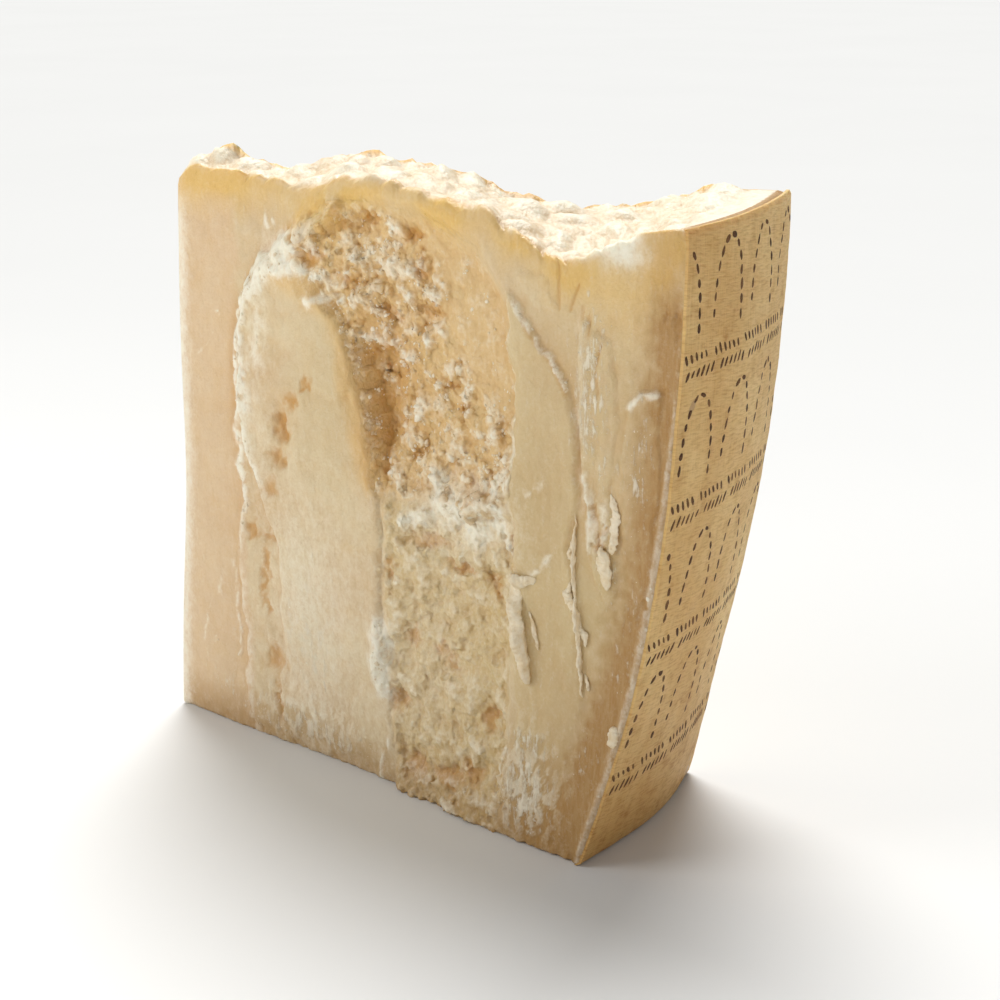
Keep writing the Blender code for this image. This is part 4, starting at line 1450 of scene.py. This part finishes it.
@dataclass(frozen=True)
class GrainKind:
    """One kind of small thing that lies on the paste."""

    name: str
    mask: str
    per_metre: float        # how many on a square metre where the mask is 1
    smallest: float
    largest: float
    flatness: float
    sunk: float             # share of its size that is below the surface
    sides: int              # subdivisions of its base shape
    seed: int
    pale: float = 0.9       # how chalky it is
    full_turn: float = 6.283

    def layout(self) -> Layout:
        """A tree that scatters the grains over a mesh, where the mask says."""
        tree = Layout(self.name, Density=self.per_metre, Smallest=self.smallest, Largest=self.largest,
                      Flatness=self.flatness, Sunk=self.sunk, Seed=self.seed)
        geometry, wanted, smallest, largest, flatness, sunk, seed = map(
            tree.given, ("Geometry", "Density", "Smallest", "Largest", "Flatness", "Sunk", "Seed"))
        place = tree.node("GeometryNodeInputPosition", {})
        clumps = tree.node("ShaderNodeTexNoise", {}, Vector=place, Scale=160.0, Detail=2.0)
        density = wanted * tree.stored(self.mask).step(0.25, 1.0) * clumps.step(0.42, 0.62)
        spread = tree.nodes.nodes.new("GeometryNodeDistributePointsOnFaces")
        tree.feed_all(spread, {"Mesh": geometry, "Density": density, "Seed": seed})
        points, normal = Value(tree, spread.outputs["Points"]), Value(tree, spread.outputs["Normal"])

        def chance(own_seed: Any) -> Value:
            """A random number for each grain."""
            return tree.node("FunctionNodeRandomValue", {"data_type": "FLOAT"}, pick=1, Seed=own_seed)

        size = smallest + (largest - smallest) * (chance(seed) ** 2.0)
        lowered = tree.scaled(normal, size * sunk * -0.5)
        points = tree.node("GeometryNodeSetPosition", {}, points, Offset=lowered)
        points = tree.node("GeometryNodeStoreNamedAttribute", {"data_type": "FLOAT", "domain": "POINT"},
                           points, None, "pale", chance(seed + 1.0) * 0.5 * self.pale + 0.5)
        turn = tree.node("FunctionNodeRandomValue", {"data_type": "FLOAT_VECTOR"}, None,
                         (self.full_turn,) * 3, Seed=seed)
        shape = tree.node("ShaderNodeCombineXYZ", {}, size * 1.25, size * 0.8, size * flatness)
        grain = tree.node("GeometryNodeMeshIcoSphere", {}, 0.5, self.sides)
        laid = tree.node("GeometryNodeInstanceOnPoints", {}, points, None, grain, Rotation=turn, Scale=shape)
        tree.close(laid, 1.3 / self.largest, largest * 0.35, Detail=2.0)
        return tree


GRAINS = (
    GrainKind("crumbs", "loose", 150000.0, 0.0010, 0.0021, 0.75, 0.45, 2, 3),
    GrainKind("fine_crumbs", "loose", 500000.0, 0.0005, 0.0012, 0.8, 0.35, 1, 7),
    GrainKind("frost_flecks", "frost", 700000.0, 0.0003, 0.0009, 0.40, 0.3, 1, 17))


# --- Curls ---

@dataclass(frozen=True)
class Curl:
    """A torn shaving of paste that still clings to the front."""

    path: tuple[Point, ...]         # from end to end: x from the wheel's axis, and height
    widths: tuple[float, ...]
    lifts: tuple[float, ...]        # how far it stands out
    seed: int
    ragged: float
    chalky: float = 0.90
    rings: int = 150
    around: int = 30
    lowest: float = 0.0002

    def surface(self, wedge: Wedge) -> Surface:
        """The curl as a closed surface on its wedge, in the part's frame."""
        rings, around = self.rings, self.around
        share, knots = np.linspace(0.0, 1.0, rings), np.linspace(0.0, 1.0, len(self.path))
        x, z, width, lift = (np.interp(share, knots, given)
                             for given in (*zip(*self.path), self.widths, self.lifts))
        line = rows(x, 0.1 * self.seed, z)
        step = np.stack([np.gradient(x), np.gradient(z)])
        side = np.stack([-step[1], step[0]]) / np.hypot(*step)     # to the right of a downward path
        taper = np.sqrt(np.clip(1.0 - np.abs(2.0 * share - 1.0) ** 7, 0.02, 1.0))
        width = width * taper * (1.0 + self.ragged * waves(line, 0.0040, (1.0, 2.0, 3.0)))
        shift = 0.35 * self.ragged * width * waves(line, 0.0050, (7.0, 5.0, 3.0))
        lift = lift * taper * (1.0 + 0.5 * waves(line, 0.0060, (4.0, 1.0, 2.0)))
        proud, _ = wedge.front.shape(x, z, np.full(rings, wedge.wheel.top), wedge.wheel)
        turn = 2.0 * math.pi * np.arange(around) / around
        across = shift[:, None] + 0.5 * width[:, None] * np.cos(turn)
        round_it = 0.7 * np.abs(np.sin(turn)) ** 1.5 * np.sign(np.sin(turn)) + 0.25 + 0.25 * np.cos(turn)
        out = lift[:, None] * round_it + np.maximum(proud, blur(proud[:, None], 12).ravel())[:, None]
        points = rows(x[:, None] + side[0][:, None] * across, -out, z[:, None] + side[1][:, None] * across)
        points = points.reshape(-1, 3)
        for size, height in ((0.0030, 0.00040), (0.0011, 0.00022)):
            for axis in range(3):
                points[:, axis] += height * waves(points, size, (self.seed, 3.0 * axis, 1.0), 3)
        points[:, 2] = np.maximum(points[:, 2], self.lowest)
        faces = [tuple(reversed(range(around))), tuple(range((rings - 1) * around, rings * around)),
                 *quads(rings, around, closed=True)]
        pale = self.chalky + 0.3 * waves(points, 0.0030, (2.0, self.seed, 5.0), 2)
        # painted glow: tints the curls yellow, for light shining through the thin shavings
        crumb, glow = (np.full(len(points), level) for level in (0.3, 0.4))
        return Surface(wedge.wheel.in_part(points), faces, {"pale": held(pale), "crumb": crumb, "glow": glow})


CURLS = (
    Curl(run(1515, 850, 1526, 790, 1537, 720, 1548, 660, 1562, 597, 1577, 522),
         tenths(50, 66, 58, 60, 58, 46), tenths(16, 36, 40, 40, 38, 26), 4, 0.16),
    Curl(run(1485, 800, 1515, 838, 1555, 850, 1606, 868), tenths(24, 44, 36, 16), tenths(10, 28, 20, 8),
         9, 0.5),
    Curl(run(1580, 760, 1600, 700, 1612, 640), tenths(10, 20, 10), tenths(6, 10, 6), 12, 0.5),
    Curl(run(1742, 1103, 1740, 955, 1744, 879, 1757, 772, 1762, 646, 1774, 531),
         tenths(8, 13, 11, 17, 15, 10), tenths(8, 18, 14, 20, 18, 8), 31, 0.4),
    Curl(run(1740, 1030, 1729, 975, 1742, 940), tenths(6, 34, 10), tenths(6, 18, 8), 8, 0.6),
    Curl(run(1738, 890, 1722, 850, 1742, 794), tenths(6, 40, 10), tenths(6, 18, 8), 15, 0.6),
    Curl(run(1757, 780, 1774, 730, 1780, 693), tenths(6, 30, 8), tenths(6, 16, 6), 23, 0.6),
    Curl(run(1778, 602, 1792, 570, 1796, 550), tenths(6, 22, 6), tenths(6, 12, 6), 27, 0.6),
    Curl(run(1835, 1020, 1850, 990, 1852, 950, 1858, 885), tenths(12, 42, 50, 24), tenths(8, 24, 22, 8),
         37, 0.4),
    Curl(run(1862, 1180, 1878, 1120, 1880, 1040, 1874, 1000), tenths(12, 34, 36, 14), tenths(6, 10, 10, 6),
         44, 0.6),
    Curl(run(1905, 475, 1900, 440, 1890, 405), tenths(26, 42, 26), tenths(12, 18, 10), 41, 0.3),
)


# --- Studio ---

@dataclass(frozen=True)
class SoftBox:
    """One studio light."""

    name: str
    place: tuple[float, float, float]
    aim: tuple[float, float, float]
    size: float
    power: float


@dataclass
class Studio:
    """Pale floor, soft light and the camera at the photograph's angle."""

    azimuth: float = math.radians(39.24)
    elevation: float = math.radians(17.592)
    roll: float = math.radians(-0.2184)
    distance: float = 0.5375
    aim: tuple[float, float, float] = (0.1454, 0.0, 0.108)
    lens: float = 64.6
    sensor: float = 36.0
    floor_size: float = 40.0
    floor_level: float = -0.0002
    boxes: tuple[SoftBox, ...] = (SoftBox("fill", (-0.36, -0.52, 0.46), (0.0, 0.0, 0.12), 0.35, 1.75),
                                  SoftBox("side", (1.30, -0.45, 0.60), (0.0, 0.0, 0.1), 0.9, 1.5))
    sun_from: tuple[float, float, float] = (-0.45, 0.60, 1.30)
    sun_spread: float = math.radians(35)
    sun_strength: float = 3.4
    ambient: float = 0.24

    def build(self, wheel: Wheel) -> None:
        """Make the floor, the lights, the world and the camera."""
        scene = bpy.context.scene
        mesh = bpy.data.meshes.new("floor")
        half = self.floor_size / 2.0
        mesh.from_pydata([(-half, -half, 0.0), (half, -half, 0.0), (half, half, 0.0), (-half, half, 0.0)], [],
                         [(0, 1, 2, 3)])
        mesh.materials.append(FloorFinish().material())
        floor = placed("floor", mesh)
        floor.location.z = self.floor_level
        for box in self.boxes:
            light = bpy.data.lights.new(box.name, "AREA")
            light.size, light.energy = box.size, box.power
            lamp = placed(box.name, light)
            lamp.location = box.place
            lamp.rotation_euler = (Vector(box.aim) - Vector(box.place)).to_track_quat("-Z", "Y").to_euler()
        sun = bpy.data.lights.new("key", "SUN")
        sun.energy, sun.angle = self.sun_strength, self.sun_spread
        placed("key", sun).rotation_euler = Vector(self.sun_from).to_track_quat("Z", "Y").to_euler()
        scene.world = bpy.data.worlds.new("studio")
        scene.world.use_nodes = True
        sky = scene.world.node_tree.nodes["Background"].inputs
        sky["Color"].default_value, sky["Strength"].default_value = (1.0, 1.0, 1.0, 1.0), self.ambient
        scene.view_settings.view_transform = "Standard"
        scene.camera = self.camera(wheel)

    def camera(self, wheel: Wheel) -> bpy.types.Object:
        """The camera, aimed from the photograph's angle."""
        data = bpy.data.cameras.new("camera")
        data.lens, data.sensor_width, data.sensor_fit = self.lens, self.sensor, "HORIZONTAL"
        back = Vector((math.sin(self.azimuth) * math.cos(self.elevation),
                       -math.cos(self.azimuth) * math.cos(self.elevation), math.sin(self.elevation)))
        right = (-back).cross(Vector((0.0, 0.0, 1.0))).normalized()
        up = right.cross(-back)
        turned_right = math.cos(self.roll) * right + math.sin(self.roll) * up
        turned_up = -math.sin(self.roll) * right + math.cos(self.roll) * up
        matrix = Matrix((turned_right, turned_up, back)).transposed().to_4x4()
        matrix.translation = Vector(self.aim) + Vector(wheel.axis) + back * self.distance
        camera = placed("camera", data)
        camera.matrix_world = matrix
        return camera


# --- Assembly ---

@dataclass
class Cheese:
    """The whole chunk: paste, rind, marks, curls and grains."""

    wedge: Wedge = field(default_factory=Wedge)

    def add(self, name: str, mesh: bpy.types.Mesh, material: bpy.types.Material,
            slot: str = "paste") -> bpy.types.Object:
        """Make one piece from a mesh and its finish."""
        mesh.materials.append(material)
        return self.keep(placed(name, mesh), slot)

    def keep(self, piece: bpy.types.Object, slot: str = "paste") -> bpy.types.Object:
        """Let a piece ride with the wedge, and report it."""
        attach(piece, "root")
        log.info("%s: %d faces", piece.name, len(piece.data.polygons))
        return piece

    def build(self) -> None:
        """Make every piece."""
        paste = PasteFinish().material()
        dry = PasteFinish(gleam=Gleam(roughness=0.4, specular=0.4)).material()
        ground = self.wedge.surface()
        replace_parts(self.add("paste", ground.mesh("paste"), paste), "cheese")
        grainy = GRAINY.surface(self.wedge)
        self.add(GRAINY.name, grainy.mesh(GRAINY.name), paste)
        ground = ground.joined(grainy)
        rind = Rind(self.wedge)
        self.add("rind", rind.mesh(), RindFinish().material(), "rind")
        self.keep(mark_layout().run("marks", Stamps(rind).seats(), MarkFinish().material()), "marks")
        curls = [curl.surface(self.wedge) for curl in CURLS]
        self.add("curls", functools.reduce(Surface.joined, curls).mesh("curls"), dry)
        for kind in GRAINS:
            self.keep(kind.layout().run(kind.name, ground.mesh("ground"), dry))


def main() -> None:
    """Build the cheese and its studio."""
    logging.basicConfig(level=logging.INFO, format="%(message)s")
    cheese = Cheese()
    cheese.build()
    Studio().build(cheese.wedge.wheel)


if __name__ == "__main__":
    main()
